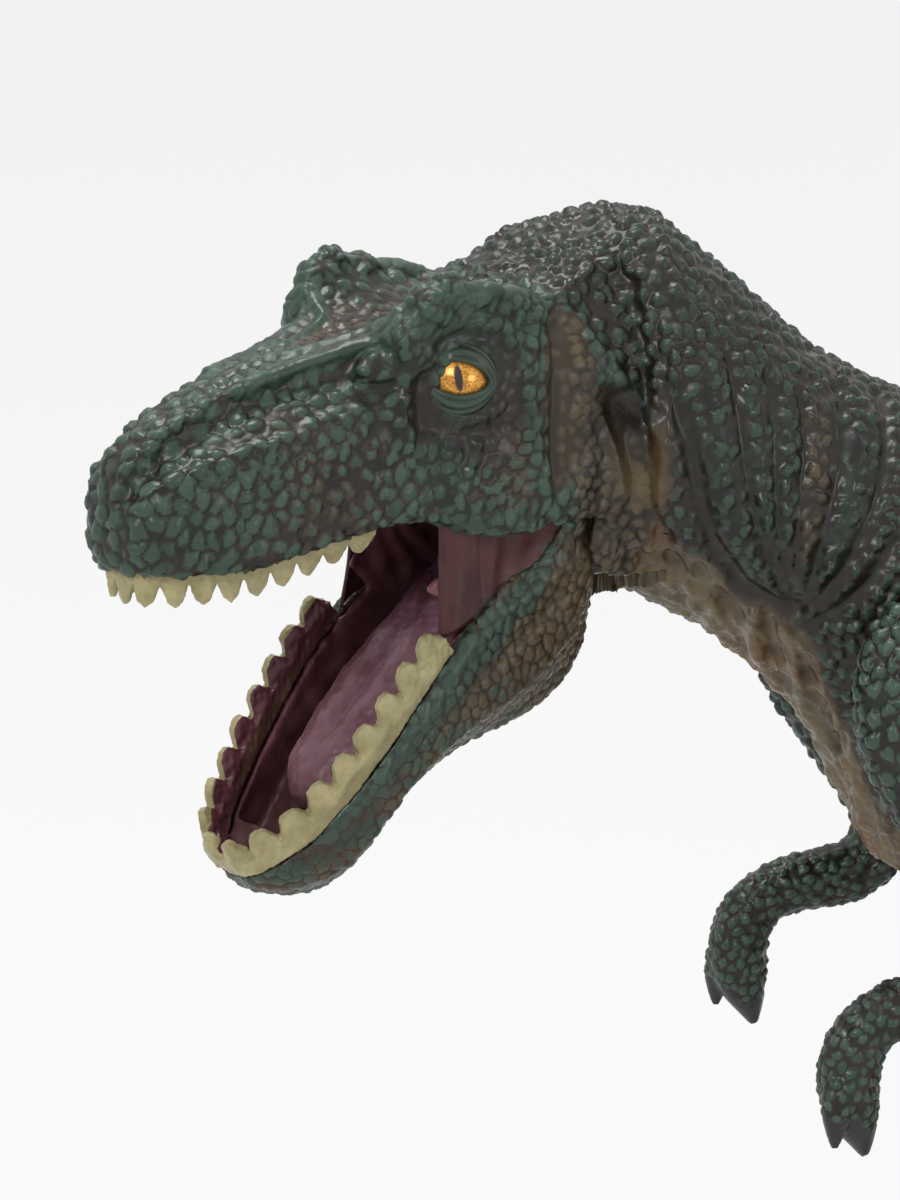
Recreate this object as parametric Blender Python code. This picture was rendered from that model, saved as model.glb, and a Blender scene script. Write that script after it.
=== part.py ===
# A toy theropod figure: hollow moulded body, opening jaw, turning arms and legs.
# It faces -X with its left side towards -Y, and stands on z = 0.

import math

import bmesh
import bpy
import numpy as np
from mathutils import Matrix, Vector

# Sizes of the whole figure, in metres
figure_length = 0.450
eye_height = 0.225
torso_half_width = 0.0295
torso_half_depth = 0.0395

# Head
head_length = 0.100
head_half_width = 0.021
head_height = 0.042
head_turn = 26.0
head_side = 0.015
eye_radius = 0.0058

neck_start = 0.008595

# Jaw, measured forward from its hinge
jaw_length = 0.0855
jaw_half_width = 0.0175
jaw_depth = 0.020
jaw_opening = 37.0

# Limbs
arm_length = 0.078
arm_width = 0.0085
arm_depth = 0.0155
arm_clear_of_body = 0.0275
leg_length = 0.1405
leg_drop_share = 0.9964
thigh_width = 0.0145
thigh_depth = 0.026
leg_clear_of_body = 0.0290
toe_radius = 0.0074

# Walls, gaps and joint hardware
wall = 0.0024
gap = 0.0003
turning_gap = 0.0005
overrun = 0.004
weld_distance = 0.000002
lining_wall = 0.0013
collar_wall = 0.0016
tooth_thickness = 0.0021
jaw_pin_radius = 0.0013
jaw_boss_radius = 0.0030
shoulder_floor = 0.0160
shoulder_radius = 0.0090
shoulder_mouth_radius = 0.0135
hip_floor = 0.0170
hip_radius = 0.0190
hip_mouth_radius = 0.0270
plate_thickness = 0.0026
peg_radius = 0.0034
peg_head_radius = 0.0065
peg_head_thickness = 0.0022
peg_bore_depth = 0.0120
opening_drop = 8 * wall

# Head sections from the snout back, as shares: place along head_length, half widths at the lip and the
# cheek, heights of lip, cheek bottom and cheek top, the brow ridge's half width and height, and the crown
head_shares = [
    (-0.585, 0.12, 0.17, -0.565, -0.500, -0.400, 0.10, -0.360, -0.350),
    (-0.572, 0.26, 0.33, -0.630, -0.505, -0.350, 0.17, -0.262, -0.250),
    (-0.540, 0.40, 0.46, -0.660, -0.500, -0.270, 0.22, -0.165, -0.150),
    (-0.465, 0.505, 0.55, -0.672, -0.490, -0.210, 0.26, -0.062, -0.045),
    (-0.365, 0.57, 0.61, -0.680, -0.475, -0.165, 0.29, 0.030, 0.035),
    (-0.250, 0.629, 0.657, -0.635, -0.445, -0.110, 0.33, 0.100, 0.100),
    (-0.130, 0.705, 0.724, -0.578, -0.400, -0.055, 0.50, 0.185, 0.150),
    (-0.060, 0.771, 0.790, -0.580, -0.360, -0.024, 0.76, 0.350, 0.180),
    (-0.015, 0.833, 0.848, -0.610, -0.357, 0.0, 0.84, 0.405, 0.195),
    (0.060, 0.905, 0.914, -0.657, -0.357, 0.0, 0.886, 0.350, 0.215),
    (0.130, 0.952, 0.971, -0.657, -0.357, 0.0, 0.86, 0.270, 0.255),
    (0.200, 0.971, 1.0, -0.655, -0.357, 0.0, 0.80, 0.265, 0.325),
    (0.280, 0.962, 1.0, -0.660, -0.345, 0.0, 0.74, 0.330, 0.430),
    (0.360, 0.960, 1.0, -0.840, -0.345, 0.0, 0.72, 0.410, 0.500),
]

# Neck, torso and tail sections as shares of figure_length, eye_height, torso_half_width and
# torso_half_depth (above and below the centre), each with its lean in degrees
spine_shares = [
    (0.0991, -0.0476, 0.814, 0.820, 0.820, 5.2),
    (0.1449, -0.1173, 0.814, 0.652, 0.652, 24.6),
    (0.1807, -0.1600, 0.847, 0.696, 0.696, 33.6),
    (0.2080, -0.2031, 0.915, 0.795, 0.795, 29.8),
    (0.2369, -0.2662, 1.000, 1.000, 1.000, 25.9),
    (0.2902, -0.3142, 0.983, 0.937, 1.013, 20),
    (0.3524, -0.3587, 0.915, 0.886, 0.937, 15),
    (0.4124, -0.3920, 0.780, 0.734, 0.759, 14),
    (0.4724, -0.4209, 0.576, 0.544, 0.557, 13),
    (0.5458, -0.4520, 0.407, 0.380, 0.392, 10),
    (0.6347, -0.4787, 0.298, 0.266, 0.278, 6),
    (0.7236, -0.4920, 0.203, 0.177, 0.182, 1),
    (0.8013, -0.4853, 0.132, 0.109, 0.109, -6),
    (0.8591, -0.4698, 0.058, 0.048, 0.048, -11),
    (0.8791, -0.4609, 0.024, 0.020, 0.020, -12),
]
head_stations = len(head_shares)
neck_stations = 5
neck_seam = head_stations + 1
tail_seam = head_stations + 8
tail_hollow_end = head_stations + 10
steps_between = 2

# Jaw sections from behind the hinge to the chin, as shares: place along jaw_length, half width, and the
# heights of the rim and the underside as shares of jaw_depth
jaw_shares = [
    (-0.095, 0.80, 0.02, -0.12),
    (-0.080, 0.88, 0.12, -0.22),
    (-0.045, 0.90, 0.21, -0.36),
    (0.010, 0.90, 0.25, -0.46),
    (0.060, 0.91, 0.25, -0.76),
    (0.130, 0.93, 0.25, -1.06),
    (0.230, 0.95, 0.23, -1.26),
    (0.360, 1.00, 0.18, -1.18),
    (0.503, 1.04, 0.13, -0.88),
    (0.655, 1.00, -0.02, -0.74),
    (0.795, 0.89, -0.15, -0.88),
    (0.889, 0.74, -0.225, -0.87),
    (0.959, 0.52, -0.25, -0.70),
    (1.000, 0.20, -0.30, -0.48),
]

# The mouth floor's cheek webs, as heights along the jaw, and the height of the floor itself
floor_rim_shares = [(0.05, 0.20), (0.15, 0.38), (0.27, 0.62), (0.36, 0.68)]
floor_top_shares = [(0.0, -0.30), (0.50, -0.32), (0.70, -0.38), (0.80, -0.50), (0.95, -0.48)]
floor_start, web_end = 0.075, 0.36
jaw_trough_end = 0.955
upper_teeth_shares = (-0.13, -0.545)
lower_teeth_shares = (0.44, 0.985)
upper_gum_rise = 1.1 * tooth_thickness

# Limb sections: place before or behind the joint, height, offset outwards, half width and half depth
arm_shares = [
    (-0.013, 0.231, 0.7, 0.42, 0.5),
    (-0.013, 0.141, 0.85, 0.8, 0.86),
    (0.000, -0.013, 0.95, 1, 1),
    (0.045, -0.179, 0.95, 0.9, 0.84),
    (0.103, -0.333, 1, 0.76, 0.62),
    (0.154, -0.474, 1, 0.64, 0.46),
    (0.147, -0.577, 1, 0.6, 0.39),
    (0.077, -0.641, 1, 0.58, 0.38),
    (-0.051, -0.660, 1, 0.56, 0.36),
    (-0.135, -0.692, 1, 0.55, 0.34),
    (-0.183, -0.750, 1, 0.58, 0.35),
    (-0.195, -0.828, 1, 0.6, 0.36),
    (-0.183, -0.897, 1, 0.5, 0.3),
    (-0.167, -0.949, 1, 0.34, 0.19),
    (-0.154, -1.000, 0.98, 0.1, 0.05),
]
finger_shares = [
    (-0.192, -0.769, 1.1, 0.4, 0.24),
    (-0.222, -0.846, 1.28, 0.4, 0.22),
    (-0.233, -0.904, 1.36, 0.28, 0.15),
    (-0.236, -0.962, 1.38, 0.08, 0.04),
]
leg_shares = [
    (0.0, 0.120, 0.897, 0.483, 0.50),
    (-0.008, 0.045, 0.966, 0.828, 0.885),
    (-0.038, -0.075, 1.0, 1.0, 1.0),
    (-0.090, -0.211, 0.966, 0.966, 0.885),
    (-0.150, -0.331, 0.862, 0.828, 0.692),
    (-0.165, -0.436, 0.759, 0.690, 0.538),
    (-0.098, -0.541, 0.690, 0.655, 0.481),
    (-0.015, -0.632, 0.655, 0.538, 0.365),
    (0.045, -0.714, 0.621, 0.469, 0.308),
    (0.030, -0.797, 0.621, 0.497, 0.308),
    (-0.030, -0.880, 0.621, 0.552, 0.308),
    (-0.090, -0.940, 0.621, 0.655, 0.308),
    (-0.120, -0.977, 0.621, 0.552, 0.192),
]
# Each toe: turn outwards in degrees and length as a share of leg_length
toe_shares = [(-24, 0.40), (0, 0.48), (24, 0.40), (180, 0.14)]
# The soles are cut flat this share of a toe's half height below its middle
toe_sink_share = 0.72
# Toe sections: place along the toe, half width and height of the centre as shares of toe_radius
toe_section_shares = [
    (0.0, 1.05, 0.95),
    (0.30, 1.0, 0.95),
    (0.52, 0.82, 0.78),
    (0.66, 0.90, 0.80),
    (0.74, 0.62, 0.60),
    (0.88, 0.40, 0.42),
    (1.0, 0.08, 0.12),
]

shoulder_shares = (0.1980, -0.2609)
hip_shares = (0.3511, -0.3733)
jaw_hinge_shares = (0.310, -0.607)
# Side view of the room cut out of the head's skin for the jaw
jaw_room_shares = [
    (-1.0, -0.702), (0.393, -0.702), (0.376, -0.881), (0.368, -1.095), (0.368, -3.0), (-1.0, -3.0),
]
eye_shares = (0.015, 0.86, -0.005)
# Tongue sections along the jaw: place, half width and top
tongue_shares = [
    (0.16, 0.42, 0.16),
    (0.30, 0.50, 0.18),
    (0.45, 0.53, 0.12),
    (0.60, 0.52, 0.04),
    (0.70, 0.46, -0.03),
    (0.765, 0.36, -0.10),
    (0.800, 0.14, -0.24),
]
# Roof of the mouth: place, half width as a share of the room inside the lips, top, and the lift of its edges
lining_shares = [
    (-0.520, 1.0, -0.42, 0.0),
    (-0.440, 1.0, -0.33, 0.0),
    (-0.340, 1.0, -0.27, 0.0),
    (-0.240, 1.0, -0.22, 0.0),
    (-0.150, 0.98, -0.18, 0.0),
    (-0.070, 0.74, -0.15, 0.0),
    (0.030, 0.64, -0.13, 0.0),
    (0.130, 0.60, -0.13, 0.0),
    (0.220, 0.58, -0.14, 0.02),
    (0.300, 0.58, -0.16, 0.22),
    (0.430, 0.58, -0.20, 0.22),
]
lining_level_share = 0.28


# Scene and materials
def clear_scene():
    for old in list(bpy.data.objects):
        bpy.data.objects.remove(old)


def new_collection(name):
    made = bpy.data.collections.new(name)
    bpy.context.scene.collection.children.link(made)
    return made


def painted(name, colour, roughness, metallic=0.0):
    made = bpy.data.materials.new(name)
    made.use_nodes = True
    shader = made.node_tree.nodes["Principled BSDF"]
    shader.inputs["Base Color"].default_value = (*colour, 1.0)
    shader.inputs["Roughness"].default_value = roughness
    shader.inputs["Metallic"].default_value = metallic
    made.diffuse_color = (*colour, 1.0)
    return made


# Smooth curves through hand-chosen sections
def smooth_rows(rows, steps, closed=False):
    """Cubic curves through the rows, with the same number of steps between each pair."""
    rows = np.array(rows, float)
    if closed:
        slopes = (np.roll(rows, -1, 0) - np.roll(rows, 1, 0)) / 2
        pairs = [(i, (i + 1) % len(rows)) for i in range(len(rows))]
    else:
        slopes = np.gradient(rows, axis=0)
        pairs = [(i, i + 1) for i in range(len(rows) - 1)]
    found = []
    for first, second in pairs:
        for step in range(steps):
            t = step / steps
            found.append(
                (2 * t**3 - 3 * t**2 + 1) * rows[first]
                + (t**3 - 2 * t**2 + t) * slopes[first]
                + (3 * t**2 - 2 * t**3) * rows[second]
                + (t**3 - t**2) * slopes[second]
            )
    if not closed:
        found.append(rows[-1])
    return np.array(found)


def height_at(rows, place, column):
    """One column of a table of sections at a place along it."""
    rows = np.array(rows, float)
    return float(np.interp(place, rows[:, 0], rows[:, column]))


jaw_sections = smooth_rows(jaw_shares, 2)


def new_object(name, mesh, collection, material=None):
    made = bpy.data.objects.new(name, mesh)
    collection.objects.link(made)
    if material:
        mesh.materials.append(material)
    return made


def finish_mesh(work, name):
    bmesh.ops.recalc_face_normals(work, faces=work.faces)
    bmesh.ops.triangulate(work, faces=work.faces)
    mesh = bpy.data.meshes.new(name)
    work.to_mesh(mesh)
    work.free()
    mesh.shade_smooth()
    return mesh


def loft_mesh(name, rings):
    """A closed skin over rings of equal count, with a flat face at each end."""
    work = bmesh.new()
    rows = [[work.verts.new(point) for point in ring] for ring in rings]
    count = len(rows[0])
    for near, far in zip(rows, rows[1:]):
        for k in range(count):
            work.faces.new((near[k], near[(k + 1) % count], far[(k + 1) % count], far[k]))
    work.faces.new(rows[0])
    work.faces.new(rows[-1])
    return finish_mesh(work, name)


def disc_mesh(name, radius, end_radius, low, high, side, sides=32):
    """A cylinder or cone along Y between two distances from the middle, on one side of the body."""
    work = bmesh.new()
    bmesh.ops.create_cone(work, cap_ends=True, segments=sides, radius1=radius, radius2=end_radius, depth=high - low)
    # The cone's low end turns to face the middle of the body
    turn = Matrix.Rotation(-side * math.pi / 2, 4, "X")
    bmesh.ops.transform(work, matrix=turn, verts=work.verts)
    bmesh.ops.translate(work, vec=(0, side * (low + high) / 2, 0), verts=work.verts)
    return finish_mesh(work, name)


def move_mesh(mesh, x=0.0, y=0.0, z=0.0):
    mesh.transform(Matrix.Translation((x, y, z)))
    return mesh


class Figure:
    """The collections that the pieces and their cutters go in."""

    def __init__(self):
        self.parts = new_collection("toy_dinosaur")
        self.tools = new_collection("cutters")
        self.tools.hide_render = True

    def cutter(self, mesh):
        made = new_object("cut_" + mesh.name, mesh, self.tools)
        made.hide_render = True
        made.display_type = "WIRE"
        return made

    def boolean(self, target, operation):
        modifier = target.modifiers.new(operation.lower(), "BOOLEAN")
        modifier.operation = operation
        modifier.solver = "EXACT"
        # A Boolean can leave cracks narrower than a micron, which spoil the next one
        weld = target.modifiers.new("weld", "WELD")
        weld.merge_threshold = weld_distance
        return modifier

    def combine(self, target, mesh, operation="DIFFERENCE"):
        self.boolean(target, operation).object = self.cutter(mesh)
        return target

    def join_all(self, target, meshes):
        """Adds several meshes to the target in one union."""
        group = bpy.data.collections.new(target.name + "_additions")
        self.tools.children.link(group)
        for mesh in meshes:
            made = self.cutter(mesh)
            self.tools.objects.unlink(made)
            group.objects.link(made)
        modifier = self.boolean(target, "UNION")
        modifier.operand_type = "COLLECTION"
        modifier.collection = group
        return target


# Places in the figure's own frame: x from between the eyes, y from the body's middle, z from the ground
def head_point(x, y, z):
    turned = Matrix.Rotation(math.radians(head_turn), 3, "Z") @ Vector((x, y, 0))
    return Vector((turned.x, turned.y - head_side, z + eye_height))


def head_place(shares):
    return head_point(shares[0] * head_length, 0, shares[1] * head_height)


def along_body(share):
    """Distance behind the head's origin. The neck fills what the head leaves ahead of the shoulders."""
    first, last = spine_shares[0][0], spine_shares[neck_stations][0]
    if share >= last:
        return share * figure_length
    start, end = head_shares[-1][0] * head_length + neck_start, last * figure_length
    return start + (end - start) * (share - first) / (last - first)


def body_place(shares):
    return Vector((along_body(shares[0]), 0, (1 + shares[1]) * eye_height))


def head_ring(row, inset, drop=0.0):
    """Sixteen points round the head at one section. The inset makes the inside of the shell."""
    along, lip, cheek, lip_z, low_z, high_z, ridge, ridge_z, crown_z = row
    x = along * head_length
    lip, cheek, ridge = (max(s * head_half_width - inset, s * gap) for s in (lip, cheek, ridge))
    low, high, under = low_z * head_height, high_z * head_height, (ridge_z - 0.10) * head_height - inset
    floor = lip_z * head_height - drop
    brow, crown = ridge_z * head_height - inset, crown_z * head_height - inset
    half = [
        (0.0, floor),
        (0.6 * lip, floor),
        (lip, floor + 0.04 * head_height),
        (cheek, low),
        (cheek, high),
        (ridge, under),
        (0.93 * ridge, brow),
        (0.5 * ridge, 0.35 * brow + 0.65 * crown),
        (0.0, crown),
    ]
    near = [head_point(x, -y, z) for y, z in half]
    far = [head_point(x, y, z) for y, z in half[-2:0:-1]]
    return [tuple(p) for p in near + far]


def spine_ring(row, inset):
    """Sixteen points round the neck, torso or tail, square to its lean."""
    along, rise, width, above, below, lean = row
    centre = body_place((along, rise))
    up = Vector((math.sin(math.radians(lean)), 0, math.cos(math.radians(lean))))
    wide = max(width * torso_half_width - inset, gap)
    high = max(above * torso_half_depth - inset, gap)
    deep = max(below * torso_half_depth - inset, gap)
    ring = []
    for k in range(16):
        angle = math.pi * k / 8
        rise_here = -math.cos(angle) * (deep if math.cos(angle) > 0 else high)
        ring.append(tuple(centre + up * rise_here + Vector((0, -math.sin(angle) * wide, 0))))
    return ring


def body_rings(inset=0.0, drop=0.0, round_steps=1):
    """Rings of the whole figure from snout to tail tip, with steps_between rings a section."""
    controls = [head_ring(row, inset, drop) for row in head_shares]
    controls += [spine_ring(row, inset) for row in spine_shares]
    along = smooth_rows(controls, steps_between)
    return [smooth_rows(ring, round_steps, closed=True) for ring in along]


def ring_at(station):
    return station * steps_between


def drawn_back(ring, towards):
    """A ring moved half a gap towards another ring's middle, where two shells meet."""
    step = Vector(np.mean(towards, axis=0) - np.mean(ring, axis=0)).normalized() * gap / 2
    return ring + np.array(step)


# Shells of head, torso and tail
def shell_between(figure, name, outer, inner, first, last, material, open_start, open_end):
    rings = list(outer[first : last + 1])
    if open_start:
        rings[0] = drawn_back(rings[0], rings[1])
    if open_end:
        rings[-1] = drawn_back(rings[-1], rings[-2])
    made = new_object(name, loft_mesh(name, rings), figure.parts, material)
    inside = figure.cutter(loft_mesh(name + "_inside", inner))
    figure.boolean(made, "DIFFERENCE").object = inside
    return made, inside


def half_box_mesh(name, low, high):
    work = bmesh.new()
    bmesh.ops.create_cube(work, size=1.0)
    size = Vector(high) - Vector(low)
    bmesh.ops.scale(work, vec=size, verts=work.verts)
    bmesh.ops.translate(work, vec=(Vector(high) + Vector(low)) / 2, verts=work.verts)
    return finish_mesh(work, name)


def prism_mesh(name, corners, half_width):
    """A flat shape in the x-z plane, drawn out equally to both sides."""
    return loft_mesh(name, [[(x, y, z) for x, z in corners] for y in (-half_width, half_width)])


def into_head(mesh):
    """Turns a mesh made in the head's own frame into its place in the figure."""
    turn = Matrix.Rotation(math.radians(head_turn), 4, "Z")
    mesh.transform(Matrix.Translation(head_point(0, 0, 0)) @ turn)
    return mesh


def make_head(figure, outer, skin):
    inner = body_rings(wall, opening_drop)
    inside = list(inner[ring_at(1) + 1 : ring_at(head_stations - 1) + 1])
    inside += list(body_rings(wall)[ring_at(head_stations) : ring_at(neck_seam) + 2])
    head, _ = shell_between(figure, "head_shell", outer, inside, 0, ring_at(neck_seam), skin, False, True)
    # The jaw swings in front of the throat, so the skin stops behind it
    hinge_x, hinge_z = jaw_hinge_shares[0] * head_length, jaw_hinge_shares[1] * head_height
    corners = [(x * head_length, z * head_height) for x, z in jaw_room_shares]
    figure.combine(head, into_head(prism_mesh("jaw_room", corners, 2 * head_half_width)))
    cheek_room = row_at(jaw_sections, 0)[1] * jaw_half_width + turning_gap
    for side in (-1, 1):
        boss = disc_mesh(
            "jaw_boss", jaw_boss_radius, jaw_boss_radius, cheek_room, pin_end() + gap, side, 20
        )
        figure.combine(head, into_head(move_mesh(boss, hinge_x, 0, hinge_z)), "UNION")
        bore_radius = jaw_pin_radius + gap / 2
        bore = disc_mesh("jaw_pin_bore", bore_radius, bore_radius, 0, pin_end(), side, 16)
        figure.combine(head, into_head(move_mesh(bore, hinge_x, 0, hinge_z)))
        socket = ball_mesh("eye_socket", eye_radius + gap, eye_centre(side))
        figure.combine(head, into_head(socket))
    return head


def pin_end():
    """How far out the jaw's pins may reach inside the cheeks."""
    cheek = height_at(head_shares, jaw_hinge_shares[0], 1) * head_half_width
    return cheek - 0.7 * wall


def ball_mesh(name, radius, centre, flat=1.0):
    work = bmesh.new()
    bmesh.ops.create_uvsphere(work, u_segments=16, v_segments=10, radius=radius)
    bmesh.ops.scale(work, vec=(1, flat, 1), verts=work.verts)
    bmesh.ops.translate(work, vec=centre, verts=work.verts)
    return finish_mesh(work, name)


def eye_centre(side):
    along, out, up = eye_shares
    sunk = 0.62 * eye_radius
    return Vector((along * head_length, side * (out * head_half_width - sunk), up * head_height))


def make_eyes(figure, gold):
    for side, name in ((-1, "eye_left"), (1, "eye_right")):
        new_object(name, into_head(ball_mesh(name, eye_radius, eye_centre(side))), figure.parts, gold)


# Sockets that the limbs turn in
def add_cup(figure, inside, place, side, floor, radius, mouth_radius, mouth):
    """Leaves a cup standing inside the torso, by taking it out of what hollows the torso."""
    slope = (mouth_radius - radius) / (mouth - floor)
    back = floor - plate_thickness
    base_radius, end_radius = radius + wall - slope * plate_thickness, mouth_radius + wall + slope * overrun
    cup = disc_mesh("cup", base_radius, end_radius, back, mouth + overrun, side, 24)
    figure.combine(inside, move_mesh(cup, place.x, 0, place.z))


def cut_socket(figure, torso, place, side, floor, radius, mouth_radius, mouth):
    slope = (mouth_radius - radius) / (mouth - floor)
    recess = disc_mesh("recess", radius, mouth_radius + slope * overrun, floor, mouth + overrun, side)
    figure.combine(torso, move_mesh(recess, place.x, 0, place.z))
    bore = disc_mesh("peg_bore", peg_radius + gap, peg_radius + gap, floor - 2 * plate_thickness, mouth, side, 20)
    figure.combine(torso, move_mesh(bore, place.x, 0, place.z))


def make_torso(figure, outer, skin):
    inner = body_rings(wall)
    inside_rings = inner[ring_at(neck_seam) - 2 : ring_at(tail_seam) + 3]
    torso, inside = shell_between(
        figure, "torso_shell", outer, inside_rings, ring_at(neck_seam), ring_at(tail_seam), skin, True, True
    )
    shoulder = (shoulder_floor, shoulder_radius, shoulder_mouth_radius, arm_clear_of_body)
    hip = (hip_floor, hip_radius, hip_mouth_radius, leg_clear_of_body)
    for side in (-1, 1):
        for place, sizes in ((shoulder_shares, shoulder), (hip_shares, hip)):
            add_cup(figure, inside, body_place(place), side, *sizes)
            cut_socket(figure, torso, body_place(place), side, *sizes)
    return torso


def make_tail(figure, outer, skin):
    inner = body_rings(wall)
    inside = inner[ring_at(tail_seam) - 2 : ring_at(tail_hollow_end) + 1]
    last = len(outer) - 1
    tail, _ = shell_between(figure, "tail_shell", outer, inside, ring_at(tail_seam), last, skin, True, False)
    return tail


def make_collar(figure, name, station, plastic):
    """The plug ring inside two shells where they meet."""
    outside = body_rings(wall + gap)
    hollow = body_rings(wall + gap + collar_wall)
    first, last = ring_at(station) - 1, ring_at(station) + 1
    collar = new_object(name, loft_mesh(name, outside[first : last + 1]), figure.parts, plastic)
    figure.combine(collar, loft_mesh(name + "_bore", hollow[first - 1 : last + 2]))


# Mouth
def row_at(rows, place):
    """All columns of a table of sections at one place along it."""
    return [place] + [height_at(rows, place, k) for k in range(1, len(rows[0]))]


def lip_path(inset):
    """Points round the inside of the upper lip, from the rear left to the snout and back to the rear right."""
    dense = smooth_rows(head_shares, steps_between)
    near = []
    for place in np.linspace(upper_teeth_shares[0], upper_teeth_shares[1], 30):
        row = row_at(dense, place)
        width = row[1] * head_half_width - inset
        near.append((place * head_length, -width, row[3] * head_height))
    return np.array(near + [(x, -y, z) for x, y, z in near[::-1]])


def spaced(path, count):
    """The same path as count points at equal distances."""
    path = np.array(path, float)
    travelled = np.concatenate([[0], np.cumsum(np.linalg.norm(np.diff(path, axis=0), axis=1))])
    wanted = np.linspace(0, travelled[-1], count)
    return np.column_stack([np.interp(wanted, travelled, path[:, k]) for k in range(path.shape[1])])


def teeth_rings(path, teeth, gum, reach, down, roundness, thickness, rear_share):
    """Sections along a row of teeth: a gum strip whose free edge runs out to a tip at each tooth."""
    steps = 4
    points = spaced(path, teeth * steps + 1)
    rings = []
    for k, point in enumerate(points):
        ahead = points[min(k + 1, len(points) - 1)] - points[max(k - 1, 0)]
        out = Vector((ahead[1], -ahead[0], 0)).normalized()
        share = abs(math.sin(math.pi * k / steps)) ** roundness
        middle = abs(2 * k / (teeth * steps) - 1)
        tooth = gum + reach * share * (1 - (1 - rear_share) * middle**2)
        base = Vector(point)
        half, tip = out * thickness / 2, out * thickness * 0.22
        fall = Vector((0, 0, down))
        rings.append(
            [
                tuple(base + half),
                tuple(base + half + fall * gum),
                tuple(base + tip + fall * tooth),
                tuple(base - tip + fall * tooth),
                tuple(base - half + fall * gum),
                tuple(base - half),
            ]
        )
    return rings


def make_upper_teeth(figure, ivory):
    path = lip_path(wall + gap + tooth_thickness / 2)
    path[:, 2] += upper_gum_rise
    gum = upper_gum_rise + 0.3 * tooth_thickness
    rings = teeth_rings(path, 19, gum, 2.0 * tooth_thickness, -1, 0.8, tooth_thickness, 0.55)
    new_object("upper_teeth", into_head(loft_mesh("upper_teeth", rings)), figure.parts, ivory)


def arch_rings(inset, drop):
    """Arched sections over the mouth, flat below."""
    dense = smooth_rows(head_shares, steps_between)
    rings = []
    for place, width, top, lift in smooth_rows(lining_shares, 2):
        lip = row_at(dense, min(place, lining_level_share))
        edge = (lip[3] + lift) * head_height + upper_gum_rise + 2 * gap
        wide = width * (lip[1] * head_half_width - wall - gap) - inset
        high = top * head_height - edge - inset
        arc = []
        for k in range(9):
            angle = math.pi * k / 8
            arc.append((-math.cos(angle) * wide, edge + math.sin(angle) ** 0.8 * high))
        arc = [(-wide, edge - drop)] + arc[1:-1] + [(wide, edge - drop)]
        rings.append([(place * head_length, y, z) for y, z in arc])
    return rings


def make_lining(figure, burgundy):
    """The roof of the mouth and the back of the throat."""
    lining = new_object(
        "mouth_lining", into_head(loft_mesh("mouth_lining", arch_rings(0, 0))), figure.parts, burgundy
    )
    inner = arch_rings(lining_wall, overrun)
    before = [tuple(Vector(p) - Vector((overrun, 0, 0))) for p in inner[0]]
    figure.combine(lining, into_head(loft_mesh("lining_inside", [before] + inner[:-1])))
    # The plate behind it closes the throat, and seats in the neck
    back = lining_shares[-1][0] * head_length
    low, high = (back - lining_wall, -head_length, -head_length), (back, head_length, head_length)
    plate = figure.cutter(into_head(half_box_mesh("throat_plate", low, high)))
    room = list(body_rings(wall + gap, opening_drop)[ring_at(head_stations - 2) : ring_at(head_stations - 1) + 1])
    room += list(body_rings(wall + gap)[ring_at(head_stations) : ring_at(neck_seam) + 1])
    figure.combine(plate, loft_mesh("throat_room", room), "INTERSECT")
    figure.boolean(lining, "UNION").object = plate


# Lower jaw, made closed along -X from its hinge, then turned open about it
def in_jaw(mesh):
    hinge = Matrix.Translation(head_place(jaw_hinge_shares))
    turn = Matrix.Rotation(math.radians(head_turn), 4, "Z")
    mesh.transform(hinge @ turn @ Matrix.Rotation(math.radians(-jaw_opening), 4, "Y"))
    return mesh


def jaw_ring(place, inset, rim=None, floor=None):
    """One section of the jaw. A rim or a floor of its own, as shares of jaw_depth, makes a liner or a cutter."""
    _, width, top, low = row_at(jaw_sections, place)
    wide, high = width * jaw_half_width - inset, top * jaw_depth
    deep = low * jaw_depth + inset
    rim = high if rim is None else rim * jaw_depth
    half = [
        (0.0, deep),
        (0.55 * wide, 0.93 * deep + 0.07 * high),
        (0.92 * wide, 0.62 * deep + 0.38 * high),
        (wide, 0.25 * deep + 0.75 * high),
        (0.97 * wide, high),
    ]
    if floor is not None:
        half = [(y, max(z, floor * jaw_depth)) for y, z in half]
    half = [(y, min(z, rim)) for y, z in half] + [(0.94 * wide, rim)]
    x = -place * jaw_length
    return [(x, -y, z) for y, z in half] + [(x, y, z) for y, z in half[:0:-1]]


def make_jaw(figure, skin):
    rings = [jaw_ring(place, 0) for place in (row[0] for row in jaw_sections)]
    jaw = new_object("lower_jaw", in_jaw(loft_mesh("lower_jaw", rings)), figure.parts, skin)
    rear = jaw_shares[0][0]
    places = [rear - wall / jaw_length, rear, 0.0, *liner_places(), jaw_trough_end]
    figure.combine(jaw, in_jaw(loft_mesh("jaw_trough", [jaw_ring(place, wall, rim=1.3) for place in places])))
    bore_radius = jaw_pin_radius + gap / 2
    for side in (-1, 1):
        bore = disc_mesh("pin_bore", bore_radius, bore_radius, jaw_half_width / 2, jaw_half_width * 2, side, 16)
        figure.combine(jaw, in_jaw(bore))
    return jaw


def make_jaw_pins(figure, steel):
    x, z = jaw_hinge_shares[0] * head_length, jaw_hinge_shares[1] * head_height
    inner_end = row_at(jaw_sections, 0)[1] * jaw_half_width - wall
    for side, name in ((-1, "jaw_pin_left"), (1, "jaw_pin_right")):
        pin = disc_mesh(name, jaw_pin_radius, jaw_pin_radius, inner_end, pin_end() - gap, side, 16)
        new_object(name, into_head(move_mesh(pin, x, 0, z)), figure.parts, steel)


def liner_places():
    """Where the mouth floor has its sections: close together just ahead of the cheek webs."""
    webs = np.linspace(floor_start, web_end, 6)
    ahead = np.linspace(web_end + 0.03, jaw_trough_end - gap / jaw_length, 10)
    return [*webs, web_end + gap / jaw_length, *ahead]


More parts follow.
